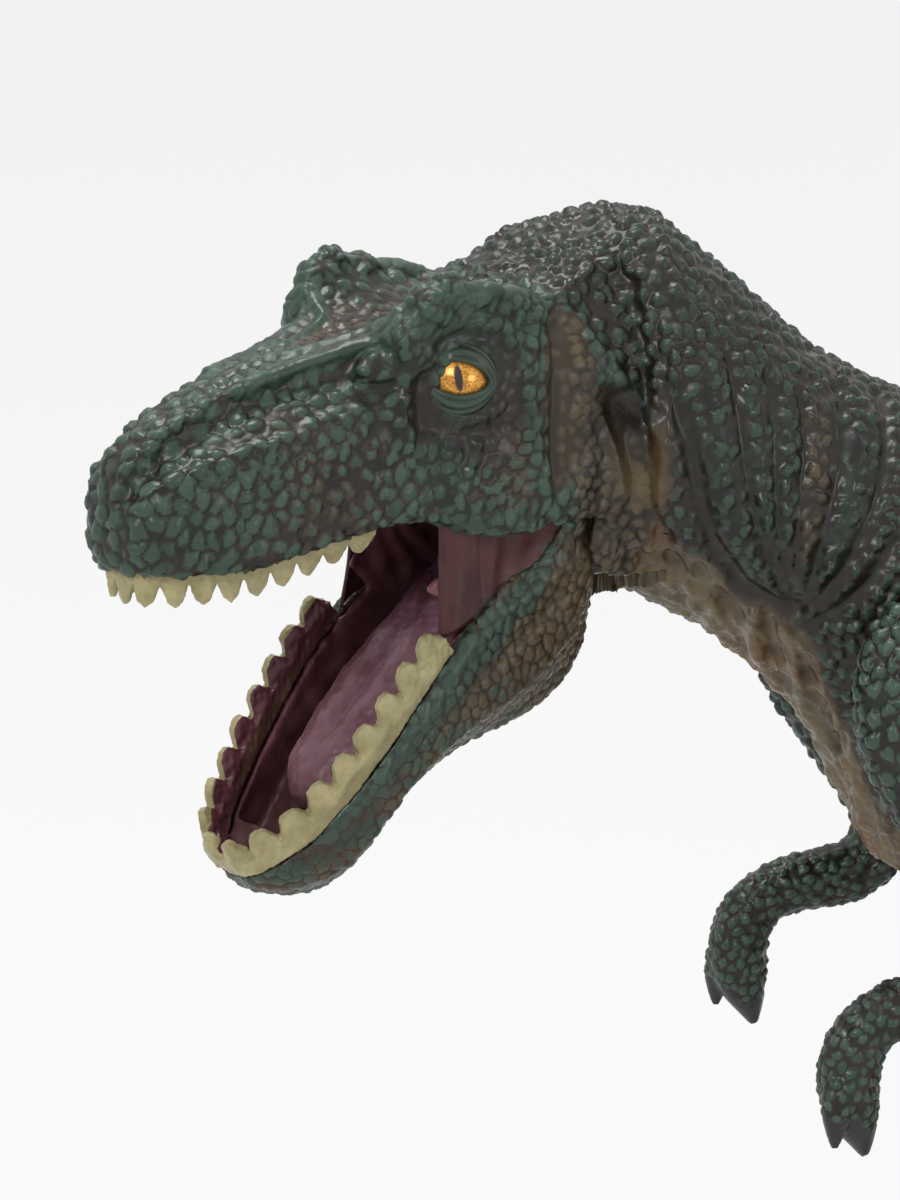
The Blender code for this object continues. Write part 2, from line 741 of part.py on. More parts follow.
def make_mouth_floor(figure, pink):
    places = liner_places()
    rims = [height_at(floor_rim_shares, place, 1) for place in places]
    tops = [row_at(jaw_sections, place)[2] - gap / jaw_depth for place in places]
    rims = [rim if place <= web_end else top for place, rim, top in zip(places, rims, tops)]
    rings = [jaw_ring(place, wall + gap, rim=rim) for place, rim in zip(places, rims)]
    floor = new_object("mouth_floor", in_jaw(loft_mesh("mouth_floor", rings)), figure.parts, pink)
    hollow = [
        jaw_ring(place, wall + gap + lining_wall, rim=1.3, floor=height_at(floor_top_shares, place, 1))
        for place in [floor_start - gap / jaw_length * 10, *places[1:-1]]
    ]
    figure.combine(floor, in_jaw(loft_mesh("floor_hollow", hollow)))
    return floor


def make_tongue(figure, mauve):
    rings = []
    for place, width, top in smooth_rows(tongue_shares, 2):
        base = height_at(floor_top_shares, place, 1) * jaw_depth + 1.5 * gap
        wide, high = width * jaw_half_width, top * jaw_depth - base
        ring = []
        for k in range(12):
            angle = 2 * math.pi * k / 12
            ring.append((-place * jaw_length, math.cos(angle) * wide, base + (1 + math.sin(angle)) * high / 2))
        rings.append(ring)
    new_object("tongue", in_jaw(loft_mesh("tongue", rings)), figure.parts, mauve)


def make_lower_teeth(figure, ivory):
    thickness = 1.6 * tooth_thickness
    near = []
    for place in np.linspace(lower_teeth_shares[0], lower_teeth_shares[1], 30):
        row = row_at(jaw_sections, place)
        rim = row[2] * jaw_depth + 1.5 * gap
        near.append((-place * jaw_length, thickness * 0.62 - row[1] * jaw_half_width, rim))
    path = np.array(near + [(x, -y, z) for x, y, z in near[::-1]])
    rings = teeth_rings(path, 18, 1.5 * tooth_thickness, 1.7 * tooth_thickness, 1, 0.45, thickness, 0.8)
    new_object("lower_teeth", in_jaw(loft_mesh("lower_teeth", rings)), figure.parts, ivory)


# Limbs
def limb_rings(rows, place, side, length, width, depth, clear, drop=None):
    """Rings square to the limb's path, which lies in a plane beside the body."""
    path = smooth_rows(rows, steps_between)
    centres = [(row[0] * length, row[1] * (drop or length)) for row in path]
    rings = []
    for k, row in enumerate(path):
        before, after = centres[max(k - 1, 0)], centres[min(k + 1, len(path) - 1)]
        run = Vector((after[0] - before[0], 0, after[1] - before[1])).normalized()
        across = Vector((-run.z, 0, run.x))
        out = clear + row[2] * width
        middle = Vector((place.x + centres[k][0], side * out, place.z + centres[k][1]))
        wide, deep = row[3] * width, row[4] * depth
        rings.append(
            [
                tuple(middle + across * math.cos(a) * deep + Vector((0, math.sin(a) * wide, 0)))
                for a in (2 * math.pi * j / 16 for j in range(16))
            ]
        )
    return rings


def add_root(figure, limb, place, side, floor, radius, mouth_radius, mouth):
    """The turned root of a limb, which sits in its socket and has the peg's bore."""
    slope = (mouth_radius - radius) / (mouth - floor)
    root = disc_mesh(
        "root", radius - turning_gap, mouth_radius - turning_gap - slope * turning_gap, floor + gap, mouth, side
    )
    figure.combine(limb, move_mesh(root, place.x, 0, place.z), "UNION")
    bore = disc_mesh("limb_bore", peg_radius + gap, peg_radius + gap, 0, floor + peg_bore_depth, side, 20)
    figure.combine(limb, move_mesh(bore, place.x, 0, place.z))


def keep_out_mesh(place, side, clear, reach):
    low, high = sorted((0, side * clear))
    return half_box_mesh("body_side", (place.x - reach, low, place.z - reach), (place.x + reach, high, place.z + reach))


def make_arm(figure, name, side, skin):
    place = body_place(shoulder_shares)
    rings = limb_rings(arm_shares, place, side, arm_length, arm_width, arm_depth, arm_clear_of_body)
    arm = new_object(name, loft_mesh(name, rings), figure.parts, skin)
    finger = limb_rings(finger_shares, place, side, arm_length, arm_width, arm_depth, arm_clear_of_body)
    figure.combine(arm, loft_mesh("finger", finger), "UNION")
    figure.combine(arm, keep_out_mesh(place, side, arm_clear_of_body, arm_length * 1.5))
    add_root(
        figure, arm, place, side, shoulder_floor, shoulder_radius, shoulder_mouth_radius, arm_clear_of_body + gap
    )
    return arm


def toe_rings(middle, turn, length):
    heading = Matrix.Rotation(math.radians(turn), 3, "Z") @ Vector((-1, 0, 0))
    across = Vector((-heading.y, heading.x, 0))
    rings = []
    for along, width, height in toe_section_shares:
        centre = middle + heading * (along * length - 0.4 * toe_radius)
        wide, high = width * toe_radius, height * toe_radius
        ring = []
        for k in range(12):
            angle = 2 * math.pi * k / 12
            up = math.sin(angle) * high + toe_sink_share * high
            ring.append(tuple(Vector((centre.x, centre.y, up)) + across * math.cos(angle) * wide))
        rings.append(ring)
    return rings


def make_leg(figure, name, side, skin):
    place = body_place(hip_shares)
    leg_drop = place.z * leg_drop_share
    rings = limb_rings(leg_shares, place, side, leg_length, thigh_width, thigh_depth, leg_clear_of_body, leg_drop)
    leg = new_object(name, loft_mesh(name, rings), figure.parts, skin)
    last = leg_shares[-2]
    middle = Vector((place.x + last[0] * leg_length, side * (leg_clear_of_body + last[2] * thigh_width), 0))
    toes = [loft_mesh("toe", toe_rings(middle, side * turn, length * leg_length)) for turn, length in toe_shares]
    figure.join_all(leg, toes)
    ground = half_box_mesh("ground", (0, -leg_length, -leg_length), (figure_length, leg_length, 0))
    figure.combine(leg, ground)
    figure.combine(leg, keep_out_mesh(place, side, leg_clear_of_body, leg_length * 0.62))
    add_root(figure, leg, place, side, hip_floor, hip_radius, hip_mouth_radius, leg_clear_of_body + gap)
    return leg


def make_peg(figure, name, shares, floor, side, plastic):
    """A T-shaped peg: its head lies behind the socket's floor and its shank goes into the limb."""
    place = body_place(shares)
    back = floor - plate_thickness - gap
    shank = disc_mesh(name, peg_radius, peg_radius, back - peg_head_thickness, floor + peg_bore_depth - gap, side, 20)
    peg = new_object(name, move_mesh(shank, place.x, 0, place.z), figure.parts, plastic)
    head = disc_mesh("peg_head", peg_head_radius, peg_head_radius, back - peg_head_thickness, back, side, 24)
    figure.combine(peg, move_mesh(head, place.x, 0, place.z), "UNION")


def centre_on_origin(figure):
    """Moves everything so that the figure's box is centred over the origin."""
    bpy.context.view_layer.update()
    corners = [o.matrix_world @ Vector(c) for o in figure.parts.objects for c in o.bound_box]
    low = Vector(min(c[k] for c in corners) for k in range(3))
    high = Vector(max(c[k] for c in corners) for k in range(3))
    stand = bpy.data.objects.new("figure_origin", None)
    bpy.context.scene.collection.objects.link(stand)
    for piece in list(figure.parts.all_objects) + list(figure.tools.all_objects):
        piece.parent = stand
    stand.location = (-(low.x + high.x) / 2, -(low.y + high.y) / 2, 0)
    return stand


def build():
    clear_scene()
    figure = Figure()
    skin = painted("green_skin", (0.060, 0.105, 0.080), 0.42)
    ivory = painted("ivory_teeth", (0.62, 0.55, 0.32), 0.40)
    burgundy = painted("burgundy_mouth", (0.060, 0.018, 0.024), 0.40)
    pink = painted("pink_mouth", (0.22, 0.075, 0.085), 0.38)
    mauve = painted("mauve_tongue", (0.20, 0.085, 0.105), 0.34)
    gold = painted("gold_eye", (0.66, 0.32, 0.06), 0.30, 0.6)
    steel = painted("steel_pin", (0.55, 0.55, 0.56), 0.35, 1.0)
    plastic = painted("grey_plastic", (0.20, 0.20, 0.21), 0.5)
    outer = body_rings(round_steps=2)
    make_head(figure, outer, skin)
    make_torso(figure, outer, skin)
    make_tail(figure, outer, skin)
    make_collar(figure, "neck_collar", neck_seam, plastic)
    make_collar(figure, "tail_collar", tail_seam, plastic)
    make_lining(figure, burgundy)
    make_upper_teeth(figure, ivory)
    make_eyes(figure, gold)
    make_jaw(figure, skin)
    make_mouth_floor(figure, pink)
    make_tongue(figure, mauve)
    make_lower_teeth(figure, ivory)
    make_jaw_pins(figure, steel)
    for side, which in ((-1, "left"), (1, "right")):
        make_arm(figure, "arm_" + which, side, skin)
        make_leg(figure, "leg_" + which, side, skin)
        make_peg(figure, "shoulder_peg_" + which, shoulder_shares, shoulder_floor, side, plastic)
        make_peg(figure, "hip_peg_" + which, hip_shares, hip_floor, side, plastic)
    centre_on_origin(figure)


build()
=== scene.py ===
# Scene of a toy theropod figure: painted soft vinyl skin over the frame's solids
import math
from itertools import product

import bmesh
import bpy
import numpy as np
from mathutils import Matrix, Vector, kdtree
from mathutils.bvhtree import BVHTree


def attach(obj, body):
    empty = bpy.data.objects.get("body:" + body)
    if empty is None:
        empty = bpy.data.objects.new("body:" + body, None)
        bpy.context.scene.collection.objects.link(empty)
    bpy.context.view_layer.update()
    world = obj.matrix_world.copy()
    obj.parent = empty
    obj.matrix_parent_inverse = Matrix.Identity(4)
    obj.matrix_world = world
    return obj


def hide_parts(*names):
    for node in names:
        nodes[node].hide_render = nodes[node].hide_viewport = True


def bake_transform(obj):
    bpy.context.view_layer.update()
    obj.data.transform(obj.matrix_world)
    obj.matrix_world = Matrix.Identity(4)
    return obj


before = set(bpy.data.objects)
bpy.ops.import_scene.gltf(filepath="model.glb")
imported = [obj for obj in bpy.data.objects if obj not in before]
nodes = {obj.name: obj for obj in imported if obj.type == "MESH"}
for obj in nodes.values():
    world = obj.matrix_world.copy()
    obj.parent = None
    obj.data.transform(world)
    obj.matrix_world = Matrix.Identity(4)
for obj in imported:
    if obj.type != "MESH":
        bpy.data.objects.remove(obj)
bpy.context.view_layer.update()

# Where the head and the photograph's camera stand, in metres and degrees
head = dict(origin=(-0.170589, -0.015, 0.225), turn=26.0)
photo = dict(
    azimuth=-12.0, elevation=14.0, distance=0.85, pixel=0.000165, headAt=(395.5, 363.4), size=(900, 1200),
)
joints = dict(
    jaw=(-0.142726, -0.001410, 0.199506), jawOpen=37.0,
    shoulder=(-0.081489, 0.166297), hip=(-0.012594, 0.141008),  # x and z
)
sides = ((-1, "Left"), (1, "Right"))
mm = 0.001

# Spine of the neck, torso and tail: x, z of the centre, half width, half height above and below, in mm
spine = [
    (-126.0, 214.3, 24, 26, 26), (-105.4, 198.6, 24, 25.8, 25.8), (-89.3, 189.0, 25, 27.5, 27.5),
    (-77.0, 179.3, 27, 31.4, 31.4), (-64.0, 165.1, 29.5, 39.5, 39.5), (-40.0, 154.3, 29, 37, 40),
    (-12.0, 144.3, 27, 35, 37), (15.0, 136.8, 23, 29, 30), (42.0, 130.3, 17, 21.5, 22),
    (75.0, 123.3, 12, 15, 15.5), (115.0, 117.3, 8.8, 10.5, 11), (155.0, 114.3, 6, 7, 7.2),
    (190.0, 115.8, 3.9, 4.3, 4.3), (225.0, 121.0, 0.7, 0.8, 0.8),
]


# Frames of reference
def axesOf(azimuth, elevation):
    a, e = math.radians(azimuth), math.radians(elevation)
    right = np.array([math.cos(a), math.sin(a), 0.0])
    back = np.array([math.sin(a) * math.cos(e), -math.cos(a) * math.cos(e), math.sin(e)])
    return right, np.cross(back, right), back


def turnAbout(axis, degrees):
    return np.array(Matrix.Rotation(math.radians(degrees), 3, axis))


headSpin = turnAbout("Z", head["turn"])
headOrigin = np.array(head["origin"])


def toHead(points):
    return (np.asarray(points) - headOrigin) @ headSpin / mm


def fromHead(points):
    return np.asarray(points, float) * mm @ headSpin.T + headOrigin


right, up, back = axesOf(photo["azimuth"], photo["elevation"])
midX, midY = photo["size"][0] / 2, photo["size"][1] / 2
offX, offY = [(mid - at) * photo["pixel"] for mid, at in zip((midX, midY), photo["headAt"])]
lookAt = headOrigin + right * offX - up * offY
cameraAt = lookAt + back * photo["distance"]


def sightLine(px, py):
    far = lookAt + right * (px - midX) * photo["pixel"] - up * (py - midY) * photo["pixel"]
    return Vector(cameraAt), Vector(far - cameraAt).normalized()


# Where points of the model fall in the photograph, in pixels
def onPhoto(points):
    off = np.asarray(points) - lookAt
    way = off / (photo["distance"] - off @ back)[:, None]
    scale = photo["distance"] / photo["pixel"]
    return midX + way @ right * scale, midY - way @ up * scale


def spineAt(x):
    rows = np.array(spine) * mm
    return [np.interp(x, rows[:, 0], rows[:, k]) for k in range(1, 5)]


# Mesh helpers
def link(obj):
    bpy.context.scene.collection.objects.link(obj)
    return obj


def only(*objs):
    bpy.ops.object.select_all(action="DESELECT")
    for obj in objs:
        obj.select_set(True)
    bpy.context.view_layer.objects.active = objs[0]


def copyOf(node, shift):
    mesh = nodes[node].data.copy()
    mesh.materials.clear()
    mesh.transform(Matrix.Translation(Vector(shift) * mm))
    return link(bpy.data.objects.new(node + "Copy", mesh))


def ball(centre, radii, turn=Matrix.Identity(4)):
    bpy.ops.mesh.primitive_uv_sphere_add(segments=32, ring_count=16, radius=1)
    made = bpy.context.object
    made.data.transform(Matrix.Translation(centre) @ turn @ Matrix.Diagonal((*radii, 1)))
    return made


def headBall(centre, radii):
    turn = Matrix.Rotation(math.radians(head["turn"]), 4, "Z")
    return ball(Vector(fromHead(centre)), Vector(radii) * mm, turn)


def rod(start, end, radius):
    start, end = Vector(start), Vector(end)
    run = end - start
    turn = run.to_track_quat("Z", "Y").to_matrix().to_4x4()
    bpy.ops.mesh.primitive_cone_add(vertices=24, radius1=radius, radius2=radius, depth=run.length)
    made = bpy.context.object
    made.data.transform(Matrix.Translation((start + end) / 2) @ turn)
    return made


def weldAndJoin(name, objs):
    only(*objs)
    bpy.ops.object.join()
    made = bpy.context.object
    made.name = name
    bpy.ops.object.mode_set(mode="EDIT")
    bpy.ops.mesh.select_all(action="SELECT")
    bpy.ops.mesh.remove_doubles(threshold=0.000001)
    bpy.ops.mesh.normals_make_consistent(inside=False)
    bpy.ops.object.mode_set(mode="OBJECT")
    return made


def modify(obj, kind, **values):
    only(obj)
    modifier = obj.modifiers.new(kind.lower(), kind)
    for key, value in values.items():
        setattr(modifier, key, value)
    bpy.ops.object.modifier_apply(modifier=modifier.name)


def remesh(obj, voxel):
    modify(obj, "REMESH", mode="VOXEL", voxel_size=voxel * mm * 1)
    return obj


# Drops what the remesh closed off inside, and keeps the outermost body
def biggestPiece(obj):
    only(obj)
    bpy.ops.object.mode_set(mode="EDIT")
    bpy.ops.mesh.select_all(action="SELECT")
    bpy.ops.mesh.separate(type="LOOSE")
    bpy.ops.object.mode_set(mode="OBJECT")
    found = sorted(bpy.context.selected_objects, key=lambda o: len(o.data.vertices))
    for spare in found[:-1]:
        bpy.data.objects.remove(spare)
    return found[-1]


def readOut(items, key, width, kind=float):
    values = np.empty(len(items) * width, kind)
    items.foreach_get(key, values)
    return values.reshape(-1, width)


def addField(mesh, key, values):
    mesh.attributes.new(key, "FLOAT", "POINT").data.foreach_set("value", np.asarray(values, np.float32))


# A mesh as arrays: points, four-sided faces, edges and the fields of paint
class Sheet:
    def __init__(self, obj):
        mesh = obj.data
        self.points = readOut(mesh.vertices, "co", 3)
        self.faces = readOut(mesh.loops, "vertex_index", 1, np.int32).reshape(-1, 4)
        self.edges = readOut(mesh.edges, "vertices", 2, np.int32)
        self.count = len(self.points)
        self.degree = np.bincount(self.edges.ravel(), minlength=self.count).astype(float)
        self.paint = {}
        bpy.data.objects.remove(obj)

    # Each point's mean over its neighbours
    def averaged(self, values):
        (a, b), count = self.edges.T, self.count
        flat = values.reshape(count, -1).T
        total = [np.bincount(a, row[b], count) + np.bincount(b, row[a], count) for row in flat]
        return (np.stack(total, 1) / self.degree[:, None]).reshape(values.shape)

    # Softens the surface and swells it again by about as much
    def smooth(self, rounds):
        for _ in range(rounds):
            for share in (0.5, -0.52):
                self.points += share * (self.averaged(self.points) - self.points)

    def normals(self):
        p = self.points[self.faces]
        n = np.cross(p[:, 2] - p[:, 0], p[:, 3] - p[:, 1])
        total = np.zeros((self.count, 3))
        for k in range(4):
            for axis in range(3):
                total[:, axis] += np.bincount(self.faces[:, k], n[:, axis], self.count)
        return total / np.maximum(np.linalg.norm(total, axis=1), 1e-12)[:, None]

    def push(self, amount):
        self.points += self.normals() * (amount * mm)[:, None]

    # An object from the chosen faces, with the normals of the whole skin so that no seam shows
    def piece(self, name, chosen, normals, material):
        faces = self.faces[chosen]
        used, index = np.unique(faces, return_inverse=True)
        mesh = bpy.data.meshes.new(name)
        mesh.vertices.add(len(used))
        mesh.vertices.foreach_set("co", self.points[used].ravel())
        mesh.loops.add(faces.size)
        mesh.loops.foreach_set("vertex_index", index.ravel().astype(np.int32))
        mesh.polygons.add(len(faces))
        mesh.polygons.foreach_set("loop_start", np.arange(len(faces), dtype=np.int32) * 4)
        mesh.update(calc_edges=True)
        mesh.shade_smooth()
        for key, values in self.paint.items():
            addField(mesh, key, values[used])
        mesh.normals_split_custom_set_from_vertices(normals[used].tolist())
        mesh.materials.append(material)
        return link(bpy.data.objects.new(name, mesh))

    def whole(self, name, material):
        return self.piece(name, np.ones(len(self.faces), bool), self.normals(), material)


# A solid's copy in small faces, with its edges softened
def sheetOf(node, voxel, smoothing):
    sheet = Sheet(remesh(weldAndJoin(node + "Sheet", [copyOf(node, (0, 0, 0))]), voxel))
    sheet.smooth(smoothing)
    return sheet


# Says on which body a piece rides and which solids it stands for, and hides those; the slot is not used
def declare(made, body, slot, *replaced):
    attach(made, body)
    if replaced:
        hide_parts(*replaced)
    print(made.name, len(made.data.polygons), "faces")


# Smooth pseudo-random waves of about that size in mm, from -1 to 1
def wobble(points, size, seed, layers=7):
    rng = np.random.default_rng(seed)
    total = np.zeros(len(points))
    for _ in range(layers):
        way = rng.normal(size=3)
        way *= rng.uniform(0.7, 1.5) * 2 * math.pi / (size * mm) / np.linalg.norm(way)
        total += np.sin(points @ way + rng.uniform(0, 2 * math.pi))
    return total / math.sqrt(layers) / 1.2


def ramp(values, low, high):
    t = np.clip((values - low) / (high - low), 0, 1)
    return t * t * (3 - 2 * t)


def lineSamples(points, step=0.4):
    points = np.asarray(points, float)
    if len(points) == 1:
        return points
    out = []
    for a, b in zip(points, points[1:]):
        count = max(int(np.linalg.norm(b - a) / (step * mm)), 1)
        out.append(a + (b - a) * np.linspace(0, 1, count, endpoint=False)[:, None])
    return np.concatenate(out + [points[-1:]])


# Distances in mm to a line, for the points within reach of its box
def distanceTo(points, line, reach):
    low, high = line.min(0) - reach * mm, line.max(0) + reach * mm
    near = np.flatnonzero(((points > low) & (points < high)).all(1))
    best = np.full(len(near), 1e9)
    for k in range(0, len(line), 40):
        part = line[k : k + 40]
        best = np.minimum(best, ((points[near][:, None] - part[None]) ** 2).sum(2).min(1))
    return near, np.sqrt(best) / mm


# Strokes: radius and height in mm, then points of the photograph, or three-number points of the head's frame
def stroke(radius, height, *points, **paint):
    return dict(paint, radius=radius, height=height, points=points)


def groove(radius, depth, dark, *points, **paint):
    return stroke(radius, -depth, *points, dark=dark, **paint)


def ridge(radius, height, green, *points, **paint):
    return stroke(radius, height, *points, green=green, **paint)


# Where lines of sight through points of the photograph meet the solids
def onSkin(photoPoints, trees):
    found = []
    for px, py in photoPoints:
        start, way = sightLine(px, py)
        hits = [tree.ray_cast(start, way) for tree in trees]
        hits = [hit for hit in hits if hit[0] is not None]
        if hits:
            found.append(min(hits, key=lambda hit: hit[3])[0])
    return np.array(found)


def mirrored(points, about):
    if about == "head":
        return fromHead(toHead(points) * (1, -1, 1))
    return np.asarray(points) * (1, -1, 1)


# Each stroke's line on the skin, on both sides of the figure
def strokesOf(rows, trees, about):
    lines = []
    for row in rows:
        local = len(row["points"][0]) == 3
        line = fromHead(row["points"]) if local else onSkin(row["points"], trees)
        if len(line) == 0:
            continue
        line = lineSamples(line)
        lines.append((line, row))
        if row.get("both", True):
            lines.append((mirrored(line, about), row))
    return lines


sculpting = dict(reach=2.6, narrow=3.0, spread=1.3, limit=2.4)
fields = ("dark", "green", "beige", "smoothness", "mouth", "claw")


# Raises or sinks the skin along each stroke, and lays its paint. Narrow grooves are kept apart as deep
def sculpt(sheet, strokes):
    raised, deep = np.zeros(sheet.count), np.zeros(sheet.count)
    for line, row in strokes:
        radius = row["radius"]
        near, distance = distanceTo(sheet.points, line, radius * sculpting["reach"])
        fall = np.exp(-((distance / radius) ** 2))
        raised[near] += row["height"] * fall
        if radius < sculpting["narrow"]:
            deep[near] -= min(row["height"], 0) * fall
        wide = np.exp(-((distance / (radius * row.get("spread", sculpting["spread"]))) ** 2))
        for key in fields:
            if key in row:
                sheet.paint[key][near] += row[key] * wide
    sheet.raised, sheet.deep = sculpting["limit"] * np.tanh(raised / sculpting["limit"]), deep
    sheet.push(sheet.raised)


# Places for the scales: no two nearer than the spacing there
def scatter(points, spacing, first, seed):
    rng = np.random.default_rng(seed)
    order = rng.permutation(len(points))[: max(len(points) // (3), 1)]
    cell = spacing.max()
    grid, kept = {}, []

    def keep(p):
        i, j, k = np.floor(p / cell).astype(int)
        for step in product((-1, 0, 1), repeat=3):
            grid.setdefault((i + step[0], j + step[1], k + step[2]), []).append(p)
        kept.append(p)

    for p in first:
        keep(p)
    keys = np.floor(points / cell).astype(int)
    for index in order:
        (x, y, z), limit = points[index], spacing[index] ** 2
        around = grid.get(tuple(keys[index]), ())
        if not any((q[0] - x) ** 2 + (q[1] - y) ** 2 + (q[2] - z) ** 2 < limit for q in around):
            keep(points[index])
    return np.array(kept)


# Grows a scale round each place. Beady scales stand apart, the others are packed like paving
def addScales(sheet, spacing, height, beady, first=(), seed=3):
    points = sheet.points
    places = scatter(points, spacing * mm, first, seed)
    rng = np.random.default_rng(seed + 1)
    lift, tone = rng.uniform(0.62, 1.1, len(places)), rng.uniform(0, 1, len(places))
    tree = kdtree.KDTree(len(places))
    for k, place in enumerate(places):
        tree.insert(place, k)
    tree.balance()
    # The scales' outlines waver, by these shares of the spacing
    bend = 0
    for size, start, share in ((4.2, 5, 0.16), (1.6, 15, 0.07)):
        waves = np.stack([wobble(points, size, seed + start + k) for k in range(3)], 1)
        bend = bend + waves * share * (spacing * mm)[:, None]
    found = np.empty((sheet.count, 3))
    for k, p in enumerate((points + bend).tolist()):
        first, other = tree.find_n(p, 2)
        found[k] = first[2], other[2], first[1]
    nearest, second, which = *found[:, :2].T, found[:, 2].astype(int)
    edge = (second - nearest) / mm / spacing
    paving = np.clip(edge / 0.62, 0, 1) ** 0.62
    bead = np.clip(1 - (nearest / mm / spacing / 0.56) ** 2, 0, 1) ** 0.62 * ramp(edge, 0.0, 0.16)
    amount = ((1 - beady) * paving + beady * bead) * lift[which]
    wrinkle = 0.5 * wobble(points, 1.9, seed + 31) + 0.5 * wobble(points, 1.0, seed + 32)
    sheet.push(height * (amount - 0.5) + 0.11 * np.minimum(height * 3, 1) * wrinkle)
    sheet.paint["relief"] = amount
    sheet.paint["tone"] = tone[which]
    print("scales:", len(places))


def layPaint(sheet, **keys):
    for key in fields:
        sheet.paint[key] = np.zeros(sheet.count) + keys.get(key, 0)


def finishPaint(sheet):
    for key in fields:
        if key != "smoothness":
            sheet.paint[key] = np.clip(sheet.paint[key], 0, 1)


# The brush's marks and the vinyl's grain, shared by all the finishes
def makeGrainGroup():
    group = bpy.data.node_groups.new("brushedGrain", "ShaderNodeTree")
    for way, names in (("INPUT", ("Vector", "Coarse", "Fine")), ("OUTPUT", ("Blot", "Streak", "Height"))):
        for name in names:
            kind = "NodeSocketVector" if name == "Vector" else "NodeSocketFloat"
            group.interface.new_socket(name=name, in_out=way, socket_type=kind)
    start, end = group.nodes.new("NodeGroupInput"), group.nodes.new("NodeGroupOutput")
    total = group.nodes.new("ShaderNodeMath")
    total.operation = "MULTIPLY_ADD"
    total.inputs[1].default_value = 0.6
    for source, target, slot in (("Coarse", "Blot", 2), ("Fine", "Streak", 0)):
        noise = group.nodes.new("ShaderNodeTexNoise")
        noise.inputs["Detail"].default_value = 5.0
        noise.inputs["Roughness"].default_value = 0.6
        group.links.new(start.outputs["Vector"], noise.inputs["Vector"])
        group.links.new(start.outputs[source], noise.inputs["Scale"])
        group.links.new(noise.outputs["Fac"], end.inputs[target])
        group.links.new(noise.outputs["Fac"], total.inputs[slot])
    group.links.new(total.outputs[0], end.inputs["Height"])
    return group


grainGroup = makeGrainGroup()


# A node material, with short ways to add its nodes
class Paint:
    def __init__(self, name):
        self.material = bpy.data.materials.new(name)
        self.material.use_nodes = True
        self.tree = self.material.node_tree
        self.shader = self.tree.nodes["Principled BSDF"]

    def node(self, kind, **values):
        made = self.tree.nodes.new(kind)
        for key, value in values.items():
            setattr(made, key, value)
        return made

    def join(self, source, target):
        self.tree.links.new(source, target)

    def feed(self, value, socket):
        if hasattr(value, "is_output"):
            self.join(value, socket)
        else:
            socket.default_value = value

    def attribute(self, name):
        return self.node("ShaderNodeAttribute", attribute_name=name).outputs["Fac"]

    def coords(self):
        return self.node("ShaderNodeTexCoord").outputs["Object"]

    def noise(self, scale, detail):
        made = self.node("ShaderNodeTexNoise")
        self.join(self.coords(), made.inputs["Vector"])
        for key, number in (("Scale", scale), ("Detail", detail), ("Roughness", 0.55)):
            made.inputs[key].default_value = number
        return made.outputs["Fac"]

    # Blots, fine streaks and the height of both, at the two scales
    def grain(self, coarse, fine):
        made = self.node("ShaderNodeGroup", node_tree=grainGroup)
        self.join(self.coords(), made.inputs["Vector"])
        made.inputs["Coarse"].default_value = coarse
        made.inputs["Fine"].default_value = fine
        return made.outputs["Blot"], made.outputs["Streak"], made.outputs["Height"]

    def math(self, operation, first, second=0.0, clamp=False):
        made = self.node("ShaderNodeMath", operation=operation, use_clamp=clamp)
        self.feed(first, made.inputs[0])
        self.feed(second, made.inputs[1])
        return made.outputs[0]

    # How far a value is from its middle, times a gain
    def swing(self, value, middle, gain):
        return self.math("MULTIPLY", self.math("SUBTRACT", value, middle), gain)

    def spread(self, value, low, high, start=0.0, end=1.0):
        made = self.node("ShaderNodeMapRange", interpolation_type="SMOOTHSTEP")
        self.feed(value, made.inputs["Value"])
        for key, number in (("From Min", low), ("From Max", high), ("To Min", start), ("To Max", end)):
            made.inputs[key].default_value = number
        return made.outputs["Result"]

    def mix(self, factor, first, second):
        made = self.node("ShaderNodeMix", data_type="RGBA")
        self.feed(factor, made.inputs["Factor"])
        self.feed(first, made.inputs[6])
        self.feed(second, made.inputs[7])
        return made.outputs[2]

    def bump(self, height, distance, strength=1.0, normal=None):
        made = self.node("ShaderNodeBump")
        made.inputs["Distance"].default_value = distance
        made.inputs["Strength"].default_value = strength
        self.join(height, made.inputs["Height"])
        if normal:
            self.join(normal, made.inputs["Normal"])
        return made.outputs["Normal"]

    def set(self, **values):
        for key, value in values.items():
            self.feed(value, self.shader.inputs[key.replace("_", " ")])


# A paint's colour as a hex code, in linear light
def tint(code):
    parts = [int(code[k : k + 2], 16) / 255 for k in (0, 2, 4)]
    return (*[c / 12.92 if c < 0.04045 else ((c + 0.055) / 1.055) ** 2.4 for c in parts], 1.0)


hideColours = dict(
    vinyl="40372b", vinylPale="5b4f3a", green="35493d", greenPale="4d6353", washAndShade="15120f", beige="6b5f46",
    beigeWarm="6f5433", smudge="3a2c1e", mouth="45202a", mouthPale="66353f", claw="2b282c",
)
